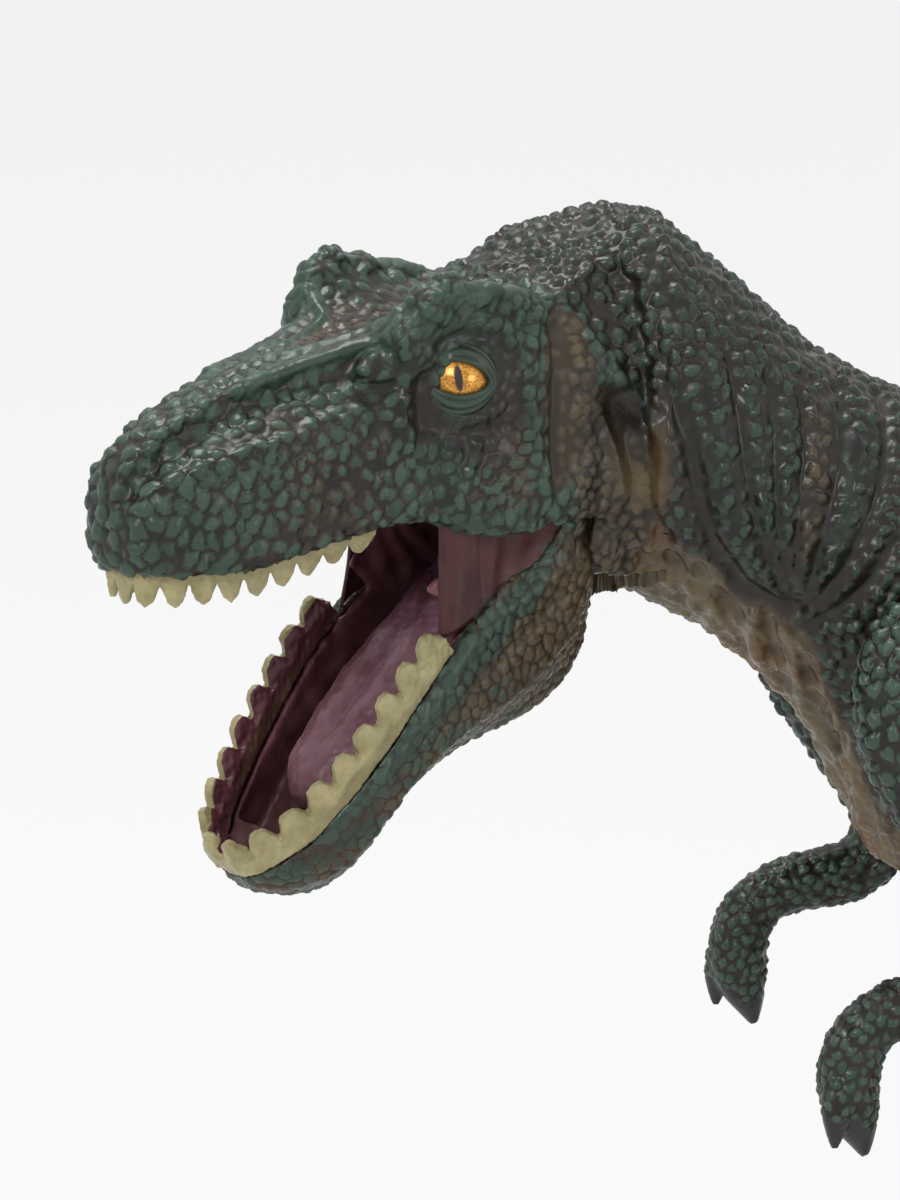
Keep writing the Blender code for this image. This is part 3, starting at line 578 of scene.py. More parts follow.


# Brown vinyl, a green brushed over the raised scales, a dark wash left in the hollows with painted shade
# laid in its colours, and a beige throat
def hidePaint(name):
    c = {key: tint(code) for key, code in hideColours.items()}
    paint = Paint(name)
    relief, green, dark, beige, tone, mouth, claw = [
        paint.attribute(key) for key in ("relief", "green", "dark", "beige", "tone", "mouth", "claw")
    ]
    (blot, fine, height), patch = paint.grain(140, 900), paint.noise(45, 3)
    vinyl = paint.mix(paint.spread(blot, 0.35, 0.68), c["vinyl"], c["vinylPale"])
    pale = paint.mix(paint.spread(patch, 0.45, 0.62), c["beige"], c["beigeWarm"])
    ground = paint.mix(beige, vinyl, pale)
    # The brush catches the tops, and misses some of them
    catch = relief
    for value, middle, gain in ((fine, 0.5, 0.9), (blot, 0.5, 0.9), (green, 0.55, 2.3)):
        catch = paint.math("ADD", catch, paint.swing(value, middle, gain))
    catch = paint.math("MULTIPLY", paint.spread(catch, 0.26, 0.56), paint.spread(green, 0.02, 0.2))
    leaf = paint.mix(paint.spread(tone, 0.1, 1.0, 0.0, 0.45), c["green"], c["greenPale"])
    body = paint.mix(catch, ground, leaf)
    # The wash lies in the grooves, less of it on the throat. The dark field adds darker paint, and painted
    # shade of folds and hollows, in the same colours
    groove = paint.math("SUBTRACT", 1.0, paint.spread(relief, 0.12, 0.60))
    groove = paint.math("MULTIPLY", groove, paint.spread(beige, 0.0, 1.0, 0.95, 0.34))
    groove = paint.math("MULTIPLY", groove, paint.spread(blot, 0.25, 0.6, 0.65, 1.0))
    laid = paint.math("MULTIPLY", dark, paint.spread(blot, 0.2, 0.7, 1.0, 0.62))
    washAndShade = paint.math("MAXIMUM", groove, laid)
    # Over the beige the smudge colour stands for the wash and for painted shade
    body = paint.mix(washAndShade, body, paint.mix(beige, c["washAndShade"], c["smudge"]))
    throat = paint.mix(paint.spread(blot, 0.3, 0.7), c["mouth"], c["mouthPale"])
    body = paint.mix(claw, paint.mix(mouth, body, throat), c["claw"])
    grain = paint.bump(height, 0.00014, 0.35)
    grain = paint.bump(paint.noise(380, 4), 0.0003, 0.30, grain)
    shine = paint.spread(paint.noise(210, 3), 0.3, 0.7, 0.25, 0.46)
    gloss = paint.math("ADD", 0.03, paint.math("MULTIPLY", dark, 0.07), clamp=True)
    paint.set(Base_Color=body, Roughness=shine, Normal=grain, Coat_Weight=gloss, Coat_Roughness=0.12)
    paint.set(Specular_IOR_Level=0.32)
    return paint.material


# Flat brushed colour inside the mouth, glossier where it lies thick, with painted shade nearly black where
# the dark field is laid
def mouthPaint(name, dark, pale, roughness):
    paint = Paint(name)
    blot, streak, height = paint.grain(120, 520)
    colour = paint.mix(paint.spread(blot, 0.32, 0.68), dark, pale)
    # Painted shade: the dark field darkens the colour nearly to black deep in the mouth
    depth = paint.attribute("dark")
    colour = paint.mix(paint.spread(depth, 0.0, 1.0, 0.0, 0.85), colour, tint("22110f"))
    grain = paint.bump(height, 0.0005, 0.35)
    shine = paint.spread(streak, 0.3, 0.7, roughness - 0.05, roughness + 0.10)
    paint.set(Base_Color=colour, Roughness=shine, Normal=grain, Coat_Weight=0.05, Coat_Roughness=0.2)
    paint.set(Specular_IOR_Level=0.24)
    return paint.material


# Cream enamel, with mouth colour over the inner faces and a darker brown along the gum
def toothPaint(name):
    paint = Paint(name)
    blot, fine, height = paint.grain(260, 1100)
    cream = paint.mix(paint.spread(blot, 0.3, 0.7), tint("91875f"), tint("aea47a"))
    speck = paint.spread(paint.noise(640, 2), 0.70, 0.76)
    cream = paint.mix(paint.math("MULTIPLY", speck, 0.45), cream, tint("86795a"))
    edge = paint.math("ADD", paint.attribute("mouth"), paint.swing(blot, 0.5, 0.7))
    colour = paint.mix(paint.spread(edge, 0.42, 0.54), cream, tint("5a3138"))
    colour = paint.mix(paint.math("MULTIPLY", paint.attribute("dark"), 0.7), colour, tint("6b5f45"))
    grain = paint.bump(height, 0.0001, 0.25)
    paint.set(Base_Color=colour, Roughness=paint.spread(fine, 0.3, 0.7, 0.30, 0.42), Normal=grain)
    paint.set(Coat_Weight=0.08, Coat_Roughness=0.18, Specular_IOR_Level=0.3)
    return paint.material


# Metallic gold with flakes, a black slit, and painted shade as a dark rim under the lids
def eyePaint(name):
    paint = Paint(name)
    blot, flake, height = paint.grain(420, 2600)
    gold = paint.mix(paint.spread(flake, 0.35, 0.65), tint("a8681c"), tint("eab04c"))
    gold = paint.mix(paint.spread(blot, 0.5, 0.75, 0.0, 0.6), gold, tint("8a5216"))
    slit = paint.attribute("slit")
    colour = paint.mix(slit, gold, tint("15100c"))
    paint.set(Base_Color=colour, Normal=paint.bump(height, 0.00006, 0.4))
    paint.set(Metallic=paint.spread(slit, 0.2, 0.8, 0.62, 0.0), Roughness=0.30)
    paint.set(Coat_Weight=0.3, Coat_Roughness=0.08)
    return paint.material


# Turned steel or moulded plastic, streaked by the tool
def hardwarePaint(name, coarse, fine, colours, roughness, depth, metallic):
    paint = Paint(name)
    _, streak, height = paint.grain(coarse, fine)
    paint.set(Base_Color=paint.mix(streak, tint(colours[0]), tint(colours[1])), Metallic=metallic)
    paint.set(Roughness=paint.spread(streak, 0.3, 0.7, *roughness), Normal=paint.bump(height, depth, 0.3))
    return paint.material


hide = hidePaint("paintedHide")
cheekPink = mouthPaint("pinkCheek", tint("5d363c"), tint("7c5057"), 0.38)
webPink = mouthPaint("pinkWeb", tint("3c2023"), tint("53302f"), 0.34)
tongueMauve = mouthPaint("mauveTongue", tint("68404a"), tint("84606a"), 0.30)
enamel = toothPaint("creamEnamel")
goldEye = eyePaint("goldEye")
steel = hardwarePaint("turnedSteel", 300, 1500, ("a9a9ab", "c4c4c6"), (0.28, 0.42), 0.00004, 1.0)
plastic = hardwarePaint("greyPlastic", 200, 1300, ("3f3f41", "4c4c4f"), (0.42, 0.55), 0.00005, 0.0)
print("materials made")


# Body skin: head, neck, torso and tail in one
bodySkin = dict(
    voxel=0.56, smoothing=7,
    horns=[  # knobs over the eyes: centre and radii in the head's frame, in mm
        ((-4.6, 15.0, 12.0), (4.3, 4.0, 4.2)), ((-1.4, 15.6, 15.0), (3.0, 3.2, 2.9)),
        ((-7.2, 14.2, 6.2), (5.0, 4.0, 6.0)), ((4.2, 15.6, 12.6), (4.6, 3.4, 3.0)),
        ((11.0, 15.6, 10.8), (4.6, 3.4, 2.8)), ((-11.5, 12.2, 2.6), (6.0, 3.2, 3.2)),
    ],
    cheekFlaps=[
        ((37.5, 17.2, -31.0), (10.0, 2.1, 8.0)), ((39.5, 18.5, -29.0), (5.0, 5.0, 6.0)),
        ((36.0, 14.0, -35.6), (6.5, 2.6, 3.6)),
    ],
    eye=(1.5, 14.46, -0.21), eyeRadius=5.8, eyePlug=(2.4, 1.0),  # plug: how far inward, and how much wider
    borePlugs=[("shoulder", 12.6, 15.2), ("hip", 13.6, 16.2)], plugRadius=0.0052,
    slotBed=[(636, 440), (640, 456), (642, 472), (642, 488), (640, 502)], bedRadius=3.6, bedDepth=2.2,
    beadsAt=(3.2, -3.5), beadsSize=(8.5, 9.0),  # the beads of the eye's hollow
    throatEdge=-37.5, throatShare=0.75, throatRear=42,
    snoutEnd=-8, headEnd=40,
    bands=[  # where each piece behind the head ends along the body, in m, and its solid
        ("neckSkin", -0.104, "head_shell"), ("neckRootSkin", -0.083, "head_shell"),
        ("shoulderSkin", -0.064, "torso_shell"), ("chestSkin", -0.045, "torso_shell"),
        ("flankSkin", -0.018, "torso_shell"), ("loinSkin", 0.010, "torso_shell"),
        ("rumpSkin", 0.042, "torso_shell"), ("tailSkin", 1.0, "tail_shell"),
    ],
)

headStrokes = [
    # Brow ridge, the thinner ridge above it and the bumps on it
    ridge(1.3, 1.3, 0.8, (250, 385), (300, 364), (350, 347), (405, 331), (428, 313), smoothness=1.0),
    ridge(0.8, 0.9, 0.8, (283, 358), (330, 343), (370, 328), (407, 315), smoothness=1.0),
    groove(0.7, 0.7, 0.7, (268, 371), (320, 353), (370, 337), (415, 321)),
    ridge(1.4, 1.2, 0.7, (444, 301), (470, 294), (500, 293), (526, 298), smoothness=1.0),
    stroke(1.6, 0.9, (447, 297)), stroke(1.7, 0.8, (490, 290)), stroke(1.7, 0.7, (523, 297)),
    ridge(1.3, 1.1, 0.7, (400, 314)),
    # Crest behind the eye, running down to the ear
    ridge(1.3, 0.8, 0.4, (18, 3, 13), (20.4, -4.5, 13.6), (21.2, -9.0, 13.0)),
    ridge(1.4, 1.4, 0.5, (23.6, -15.9, 8.5), (27.2, -20, 2.1), (31, -21, -3)),
    groove(1.2, 0.9, 0.5, (14.5, 2, 11.5), (16.5, -5, 12), (18.3, -11, 11), (20, -15, 8), green=-0.4),
    groove(1.0, 0.9, 0.2, (552, 318), (556, 345), (556, 380), (554, 430), (556, 480), green=-0.4),
    ridge(1.3, 0.8, 0.6, (540, 312), (534, 350), (533, 400), (538, 450), (548, 495)),
    groove(
        2.6, 0.3, -0.35, (562, 330), (564, 370), (566, 410), (568, 460),
        green=-0.8, beige=0.35, smoothness=0.6,
    ),
    ridge(1.8, 0.6, 0.35, (585, 345), (594, 380), (592, 430)),
    # Eye hollow
    groove(5.4, 1.3, 1.2, (459, 383), spread=1.4, smoothness=0.2, green=-0.25),
    groove(1.6, 1.0, 0.9, (425, 350), (455, 335), (492, 338), (512, 360)),
    groove(3.2, 0.5, 0.75, (425, 415), (450, 440), (485, 445), (508, 420), green=-0.2),
    ridge(1.1, 0.6, 0.2, (430, 345), (462, 322), (500, 328)),
    groove(1.7, 0.6, 0.9, (432, 425), (460, 436), (492, 428)),
    stroke(2.4, 0, (422, 372), (418, 400), (424, 424), dark=0.8),
    ridge(1.3, 0.5, 0.2, (446, 414), (466, 422), (486, 418), dark=0.4),
    stroke(2.0, 0, (500, 362), (505, 385), (500, 410), dark=0.5), ridge(1.3, 1.0, 0.4, (436, 447)),
    ridge(1.3, 1.0, 0.4, (458, 452)), ridge(1.3, 1.0, 0.4, (480, 446)), ridge(1.4, 0.8, 0.4, (470, 470)),
    ridge(1.3, 0.8, 0.4, (447, 476)), ridge(1.3, 0.7, 0.3, (428, 468)),
    groove(2.2, 0.6, 0.55, (510, 380), (516, 410), (510, 440)),
    # Beaded ridge ahead of the eye, with a hollow ahead of it
    ridge(1.2, 1.2, 0.6, (407, 372), (404, 395), (404, 418), (410, 445)),
    groove(1.1, 1.0, 0.7, (424, 372), (421, 400), (424, 430)),
    groove(2.3, 0.7, 0.35, (382, 375), (378, 405), (384, 435)),
    groove(3.5, 0.4, 0.3, (340, 385), (320, 400)),
    # Ear: a hollow with a raised rim over it, and painted shade darkening the hollow's upper part under the
    # rim
    groove(2.7, 0.6, 0.95, (618, 402), (634, 413), (645, 430), green=-0.6, smoothness=0.8),
    stroke(3.0, 0, (632, 440), (638, 462), (640, 490), dark=-0.1, green=-0.6, beige=0.15, smoothness=0.6),
    ridge(2.2, 0.4, -0.4, (614, 450), (622, 480), beige=0.2, smoothness=0.5),
    ridge(1.1, 1.3, 0.8, (600, 378), (622, 386), (642, 402), (655, 425), smoothness=0.4),
    ridge(1.5, 0.6, -0.3, (657, 430), (662, 460), (660, 495), beige=0.3, smoothness=0.9),
    ridge(1.2, 0.8, 0.3, (603, 410), (612, 440), (617, 475), (622, 497)),
    # Jowl under the cheek and the fold behind the lip
    ridge(2.0, 0.9, 0.4, (470, 528), (498, 535), (530, 526), (570, 521)),
    groove(1.1, 0.8, 0.3, (440, 505), (455, 518), (480, 528)),
    ridge(1.6, 0.5, 0.2, (560, 505), (600, 508), (640, 506)),
    ridge(2.0, 0.5, 0.2, (575, 500), (590, 470), (600, 440)),
    # Lip folds and the snout
    groove(0.8, 0.7, 0.5, (430, 512), (425, 495)), groove(0.8, 0.6, 0.5, (392, 517), (388, 500)),
    groove(0.8, 0.6, 0.5, (350, 532), (345, 514)), groove(0.8, 0.6, 0.5, (308, 548), (302, 530)),
    groove(0.8, 0.5, 0.5, (262, 562), (256, 546)), groove(0.8, 0.5, 0.5, (215, 572), (210, 556)),
    groove(0.8, 0.5, 0.5, (168, 572), (164, 552)), groove(1.0, 0.45, 0.5, (124, 496), (131, 487)),
    stroke(2.8, 0, (-13, 10.5, 1), (-9, 13.0, 5), (-6, 14.5, 9), smoothness=1.0, green=0.5),
    groove(1.8, 0.7, 0.6, (-8, 10, 5), (-3, 11, 9), (4, 11.5, 9), green=-0.5),
    stroke(6.5, 0, (-12, 0, 6), (0, 0, 8), (12, 0, 10), green=-0.55, dark=0.3, both=False),
    # Hollow of the skull between the brows, and a keel along the snout
    groove(7.0, 1.6, 0.25, (6, 0, 9), (14, 0, 11), (22, 0, 14), both=False),
    stroke(2.2, 0.7, (-40, 0, 0), (-30, 0, 3), (-18, 0, 5), both=False),
]

neckStrokes = [
    # Folds that run together low on the neck
    groove(
        1.7, 2.2, 0.85, (672, 392), (690, 440), (700, 500), (714, 548), (742, 586), (775, 606), (795, 614),
    ),
    groove(1.6, 1.2, 0.35, (655, 520), (672, 560), (700, 592), (740, 612)),
    groove(1.0, 1.2, 0.6, (728, 350), (738, 400), (745, 450), (752, 500), (768, 560), (790, 610)),
    groove(0.9, 1.0, 0.6, (768, 372), (775, 420), (777, 470), (778, 520), (786, 570), (796, 612)),
    groove(0.9, 1.0, 0.5, (800, 388), (806, 430), (804, 480), (797, 540), (797, 600)),
    groove(1.1, 1.3, 0.7, (838, 384), (845, 430), (838, 490), (818, 560), (803, 608)),
    groove(1.2, 1.4, 0.75, (878, 392), (888, 440), (878, 500), (850, 560), (815, 606)),
    groove(1.2, 1.2, 0.6, (898, 540), (870, 580), (835, 612), (812, 625)),
    ridge(1.4, 0.7, -0.5, (818, 420), (818, 480), (806, 550), beige=0.2),
    ridge(1.8, 0.8, 0.35, (858, 440), (856, 500), (832, 565)),
    ridge(1.3, 0.6, 0.3, (790, 420), (789, 480), (788, 540)),
    ridge(1.5, 0.6, 0.2, (755, 400), (762, 470), (770, 530)),
    ridge(2.0, 0.6, 0.2, (710, 380), (722, 450), (732, 520), (752, 560)),
    # Pits and rolls of the throat
    groove(1.5, 1.0, 0.25, (668, 560), (676, 572), beige=0.2),
    groove(1.6, 1.0, 0.3, (700, 572), (712, 592), beige=0.2),
    groove(1.8, 1.2, 0.45, (730, 600), (738, 630), (742, 652), beige=0.2),
    groove(1.8, 1.2, 0.5, (770, 625), (775, 655), (780, 680), beige=0.2),
    stroke(1.6, 0.9, (752, 612), (758, 645), (764, 668), beige=0.3),
    stroke(1.6, 0.8, (715, 600), (722, 622), (728, 645), beige=0.3),
    groove(1.7, 1.0, 0.35, (800, 640), (812, 690), (835, 745), beige=0.3),
]

# Rows of beads between the neck's folds, in points of the photograph
beadRows = [
    [(712, 345), (716, 400), (722, 450), (730, 500)], [(750, 372), (756, 430), (760, 500)],
    [(786, 400), (788, 450), (786, 510)], [(826, 424), (824, 480), (814, 540)],
    [(860, 425), (860, 490), (840, 550)], [(897, 430), (898, 500), (870, 560)],
    [(645, 330), (655, 370), (668, 410), (678, 450)], [(690, 330), (694, 390), (704, 440)],
]

# The throat's upper edge, in points of the photograph
throatLine = [
    (600, 545), (650, 508), (675, 540), (700, 566), (750, 602), (791, 620), (830, 690), (860, 770),
    (900, 860),
]
throatEnd = 860


def bodyTrees():
    graph = bpy.context.evaluated_depsgraph_get()
    solids = ("head_shell", "torso_shell", "lower_jaw")
    return {name: BVHTree.FromObject(nodes[name], graph) for name in solids}


trees = bodyTrees()
bodySolids = [trees["head_shell"], trees["torso_shell"]]


# Where the inside of the mouth lies in the head's frame, in mm, and how near a point must be to it, in m
mouth = dict(rear=34, roof=-12, halfWidth=15.5, searched=46, near=0.004, lipRear=31, lipLow=-36)


# The head solid's faces that look into its hollow, and those of the mouth's roof
def innerFaces():
    points, faces, inner = [], [], []
    for name in ("head_shell", "torso_shell", "tail_shell", "mouth_lining"):
        mesh, start = nodes[name].data, len(points)
        points += [v.co.copy() for v in mesh.vertices]
        for face in mesh.polygons:
            faces.append([start + k for k in face.vertices])
            found = name == "mouth_lining"
            if name == "head_shell":
                x, y, z = toHead([face.center[:]])[0]
                hit = trees[name].ray_cast(face.center + face.normal * 0.0003, face.normal, 0.06)
                within = x < mouth["rear"] and z < mouth["roof"] and abs(y) < mouth["halfWidth"]
                found = hit[0] is not None and within
            inner.append(float(found))
    return BVHTree.FromPolygons(points, faces), inner


def makeBodySkin():
    spec, none = bodySkin, (0, 0, 0)
    turn, across = [Vector(fromHead(way) - fromHead(none)) / mm for way in ((0.45, 0, 0), (0, 0.45, 0))]
    # The copies that stand a little aside close the seams and thicken the mouth's thin lining
    pieces = [copyOf(node, shift) for node, shift in (
        ("head_shell", none), ("torso_shell", none), ("torso_shell", (-0.4, 0, 0.2)), ("tail_shell", none),
        ("tail_shell", (-0.45, 0, 0.1)), ("neck_collar", none), ("tail_collar", none),
        ("mouth_lining", none),
    )]
    pieces += [copyOf("mouth_lining", shift) for shift in (turn, -turn, across, -across, (0, 0, 0.45))]
    for side in (-1, 1):
        # The lowest flap fills the corner on the side the head turns to
        for (x, y, z), radii in spec["horns"] + spec["cheekFlaps"][: 3 if side < 0 else 2]:
            pieces.append(headBall((x, side * y, z), radii))
        # Plugs behind the eyes and over the pegs' bores, so that the hollow inside closes off
        (x, y, z), (inward, wider) = spec["eye"], spec["eyePlug"]
        pieces.append(headBall((x, side * (y - inward), z), [spec["eyeRadius"] + wider] * 3))
        for joint, low, high in spec["borePlugs"]:
            px, pz = joints[joint]
            ends = [(px, side * y * mm, pz) for y in (low, high)]
            pieces.append(rod(*ends, spec["plugRadius"]))
    # A soft bed in the slot under the ear, on the side the head turns to
    for spot in spec["slotBed"]:
        way = sightLine(*spot)[1]
        for point in onSkin([spot], bodySolids):
            pieces.append(ball(Vector(point) + way * spec["bedDepth"] * mm, [spec["bedRadius"] * mm] * 3))
    sheet = Sheet(biggestPiece(remesh(weldAndJoin("bodySkin", pieces), spec["voxel"])))
    print("body skin:", sheet.count, "points")
    sheet.smooth(spec["smoothing"])
    # The cut edge of the throat hangs down in two points behind the jaw, which are drawn in here
    x, y, z = toHead(sheet.points).T
    hanging = (x < spec["throatRear"]) & (z < spec["throatEdge"])
    sheet.points[hanging, 2] -= spec["throatShare"] * (z[hanging] - spec["throatEdge"]) * mm
    return sheet


def markInside(sheet):
    tree, inner = innerFaces()
    local = toHead(sheet.points)
    inside = np.zeros(sheet.count)
    for k in np.flatnonzero(local[:, 0] < mouth["searched"]):
        near = tree.find_nearest(sheet.points[k].tolist(), mouth["near"])
        if near[2] is not None:
            inside[k] = inner[near[2]]
    inside *= (local[:, 0] < mouth["lipRear"]) | (local[:, 2] > mouth["lipLow"])
    # The lips' edge keeps the skin's paint
    for _ in range(2):
        inside = np.minimum(inside, sheet.averaged(inside) > 0.4)
    sheet.inside = inside
    return sheet.averaged(sheet.averaged(inside))


# Scale size, height and shape, and the broad fields of paint, over the whole body
def bodyZones(sheet):
    p = sheet.points
    x, _, z = toHead(p).T
    centreZ, _, above, below = spineAt(p[:, 0])
    level = (p[:, 2] - centreZ) / np.where(p[:, 2] > centreZ, above, below)
    crest = np.interp(z, (-24, -12, -7, 2, 10, 13), (36, 35.5, 34.9, 27.2, 22.8, 20.5))
    onHead = 1 - ramp(x - crest, -1.0, 1.5)
    trunk = 1 - onHead
    neck = trunk * (1 - ramp(p[:, 0], -0.085, -0.06))
    tail = ramp(p[:, 0], 0.02, 0.21)
    snout = (1 - ramp(x, -48, -30)) * onHead
    face = onHead * (1 - snout)
    top = ramp(z, -4, 8) * onHead
    patch = onHead * ramp(x, 20, 22.5) * (1 - ramp(z, 6, 10))
    # The throat and belly, whose edge the photograph shows as far as the shoulder
    belly = 1 - ramp(level + 0.14 * wobble(p, 26, 4), -0.62, -0.34)
    px, py = onPhoto(p * (1, 0, 1) - np.abs(p) * (0, 1, 0))
    line = np.interp(px, *zip(*throatLine))
    throat = ramp(py - line + 7 * wobble(p, 9, 5), -8, 16)
    beyond = ramp(px, throatEnd, throatEnd + 70)
    belly = np.where(px < throatEnd, throat, belly + (throat - belly) * (1 - beyond)) * trunk
    belly = belly * (1 - 0.35 * (1 - ramp(px, 640, 690)))
    spacing = 2.2 + 0.45 * snout - 0.45 * patch + 0.05 * neck + 0.5 * trunk * (1 - neck)
    spacing = spacing - 1.2 * tail - 0.2 * belly
    spacing = np.clip(spacing + 0.28 * wobble(p, 14, 21), 1.15, 3.2)
    height = 1.00 * snout + 0.68 * face + 0.95 * trunk - 0.24 * patch - 0.45 * tail - 0.62 * belly
    height = np.clip(height, 0.12, 0.95)
    beady = trunk * 0.92 + face * (0.60 + 0.30 * wobble(p, 17, 33)) + 0.45 * snout - 0.5 * belly
    green = 0.66 * snout + face * (0.56 + 0.12 * wobble(p, 22, 31)) + 0.60 * trunk
    green = green - 0.52 * patch - 0.85 * belly + 0.20 * top
    backbone = trunk * ramp(level, 0.45, 0.9)
    green = green - 0.20 * ramp(wobble(p, 38, 8), 0.2, 1.1) * trunk * ramp(p[:, 0], -0.08, -0.04)
    dark = 0.34 * backbone + 0.12 * snout + 0.48 * neck * (1 - belly)
    smudge = ramp(wobble(p, 11, 6) + 0.5 * wobble(p, 4, 7), 0.25, 0.9) * belly
    layPaint(sheet, green=green, beige=belly, dark=dark + 0.38 * smudge)
    sheet.paint["mouth"] += markInside(sheet)
    return spacing, height, np.clip(beady, 0, 1), level, onHead, belly


# Upright folds down the flanks and soft rolls across the belly, beyond what the photograph shows
def torsoFolds(sheet, level, onHead, belly):
    p = sheet.points
    x, z = p[:, 0] / mm, p[:, 2] / mm
    rest = ramp(p[:, 0], -0.088, -0.070) * (1 - ramp(p[:, 0], 0.05, 0.19))
    flank = rest * (1 - ramp(level, 0.35, 0.8)) * ramp(level, -0.95, -0.5)
    wave = np.abs(np.sin((x + 0.35 * (z - 150) + 3.0 * wobble(p, 45, 51)) * math.pi / 9.5))
    fold = np.clip(np.exp(-(wave / 0.22) ** 2) * flank * (0.55 + 0.45 * wobble(p, 30, 52)), 0, 1)
    wave = np.abs(np.sin((x + 0.2 * p[:, 2] / mm) * math.pi / 7.5 + 0.5 * wobble(p, 30, 53)))
    roll = np.exp(-(wave / 0.25) ** 2) * belly * (1 - onHead) * ramp(p[:, 0], -0.105, -0.085)
    size = 1 - 0.6 * ramp(p[:, 0], 0.02, 0.15)
    crumple = belly * (1 - onHead) * (wobble(p * (1.6, 1, 0.7), 8, 54) + 0.6 * wobble(p, 3.4, 55))
    sheet.push((0.55 * crumple - 1.1 * fold - 0.7 * roll) * size)
    # Painted shade in the crumple's hollows and along the folds and rolls
    sheet.paint["dark"] += 0.55 * ramp(-crumple, 0.15, 1.1)
    sheet.paint["dark"] += 0.5 * fold + 0.25 * roll
    return fold


def dressBody():
    spec, sheet = bodySkin, makeBodySkin()
    spacing, height, beady, level, onHead, belly = bodyZones(sheet)
    inside = sheet.inside > 0.5
    fold = torsoFolds(sheet, level, onHead, belly)
    before = sheet.points.copy()
    sculpt(sheet, strokesOf(headStrokes, bodySolids, "head") + strokesOf(neckStrokes, bodySolids, "body"))
    sheet.points[inside] = before[inside]
    first = []
    for row in beadRows:
        line = lineSamples(onSkin(row, bodySolids), 2.7)
        first += list(line) + list(mirrored(line, "body"))
    # How much of the scales' height is left: less in creases, folds and smooth places
    creased = np.clip(sheet.deep / 0.9, 0, 1)
    left = 1 - 0.9 * creased - 0.85 * np.clip(sheet.paint["smoothness"], 0, 1) - 0.8 * fold
    # Beads stay in the eye's hollow
    x, _, z = toHead(sheet.points).T
    (beadX, beadZ), (wide, tall) = spec["beadsAt"], spec["beadsSize"]
    beads = np.exp(-(((x - beadX) / wide) ** 2 + ((z - beadZ) / tall) ** 2)) * onHead
    left = np.maximum(np.clip(left, 0.05, 1), 0.85 * beads)
    addScales(sheet, spacing - 0.65 * beads, np.where(inside, 0.0, height * left), beady, first)
    relief = sheet.paint["relief"] * (0.35 + 0.65 * left) + 0.55 * (1 - left) * (sheet.raised > 0)
    sheet.paint["relief"] = np.where(inside, 0.5, relief)
    finishPaint(sheet)
    normals, middle = sheet.normals(), sheet.points[sheet.faces].mean(1)
    ahead, along = toHead(middle)[:, 0], middle[:, 0]
    onSnout, behind, start = ahead < spec["snoutEnd"], ahead >= spec["headEnd"], -1.0
    face = ("head_shell", "mouth_lining")
    cuts = [("snoutSkin", onSnout, face), ("cheekSkin", ~onSnout & ~behind, face)]
    for name, end, solid in spec["bands"]:
        cuts.append((name, behind & (along >= start) & (along < end), (solid,)))
        start = end
    for name, chosen, replaced in cuts:
        declare(sheet.piece(name, chosen, normals, hide), "body", "green_skin", *replaced)


dressBody()


# Eyes and their lids
eyes = dict(gaze=(-0.56, 0.80, 0.17), slit=(0.12, 0.38), almond=(56.0, 27.0), lean=8.0, lidThickness=0.12)


def gazeAxes(side):
    gaze = Vector((eyes["gaze"][0], side * eyes["gaze"][1], eyes["gaze"][2])).normalized()
    gaze = Vector(headSpin @ np.array(gaze))
    level = gaze.cross(Vector((0, 0, 1))).normalized() * -side
    return gaze, level, level.cross(gaze).normalized() * side


def makeEye(side, name):
    x, y, z = bodySkin["eye"]
    centre = Vector(fromHead((x, side * y, z)))
    radius = bodySkin["eyeRadius"] * mm
    gaze, level, rise = gazeAxes(side)
    turn = Matrix((level, rise, gaze)).transposed().to_4x4()
    bpy.ops.mesh.primitive_uv_sphere_add(segments=128, ring_count=96, radius=radius)
    eye = bpy.context.object
    eye.name = name
    mesh = eye.data
    wide, tall = eyes["slit"]
    values = []
    for v in mesh.vertices:
        a, b, c = v.co / radius
        a += 0.12 * b
        slit = 1 - ramp((a / wide) ** 2 + (b / tall) ** 2, 0.7, 1.15)
        # Painted shade: a dark rim where the lids overhang, and the back half hidden in the socket dark too,
        # both laid in the slit field
        rim = ramp(math.hypot(a, b), 0.80, 0.92)
        values.append(max(slit, 0.9 * rim, 1.0 if c < 0.1 else 0))
        # The cornea stands slightly proud round the slit
        v.co *= 1 + 0.012 * math.exp(-((a * a + b * b) / 0.2))
    addField(mesh, "slit", values)
    mesh.transform(Matrix.Translation(centre) @ turn)
    mesh.shade_smooth()
    mesh.materials.append(goldEye)
    declare(eye, "body", "gold_eye", name.replace("Left", "_left").replace("Right", "_right"))
    return centre, radius, turn


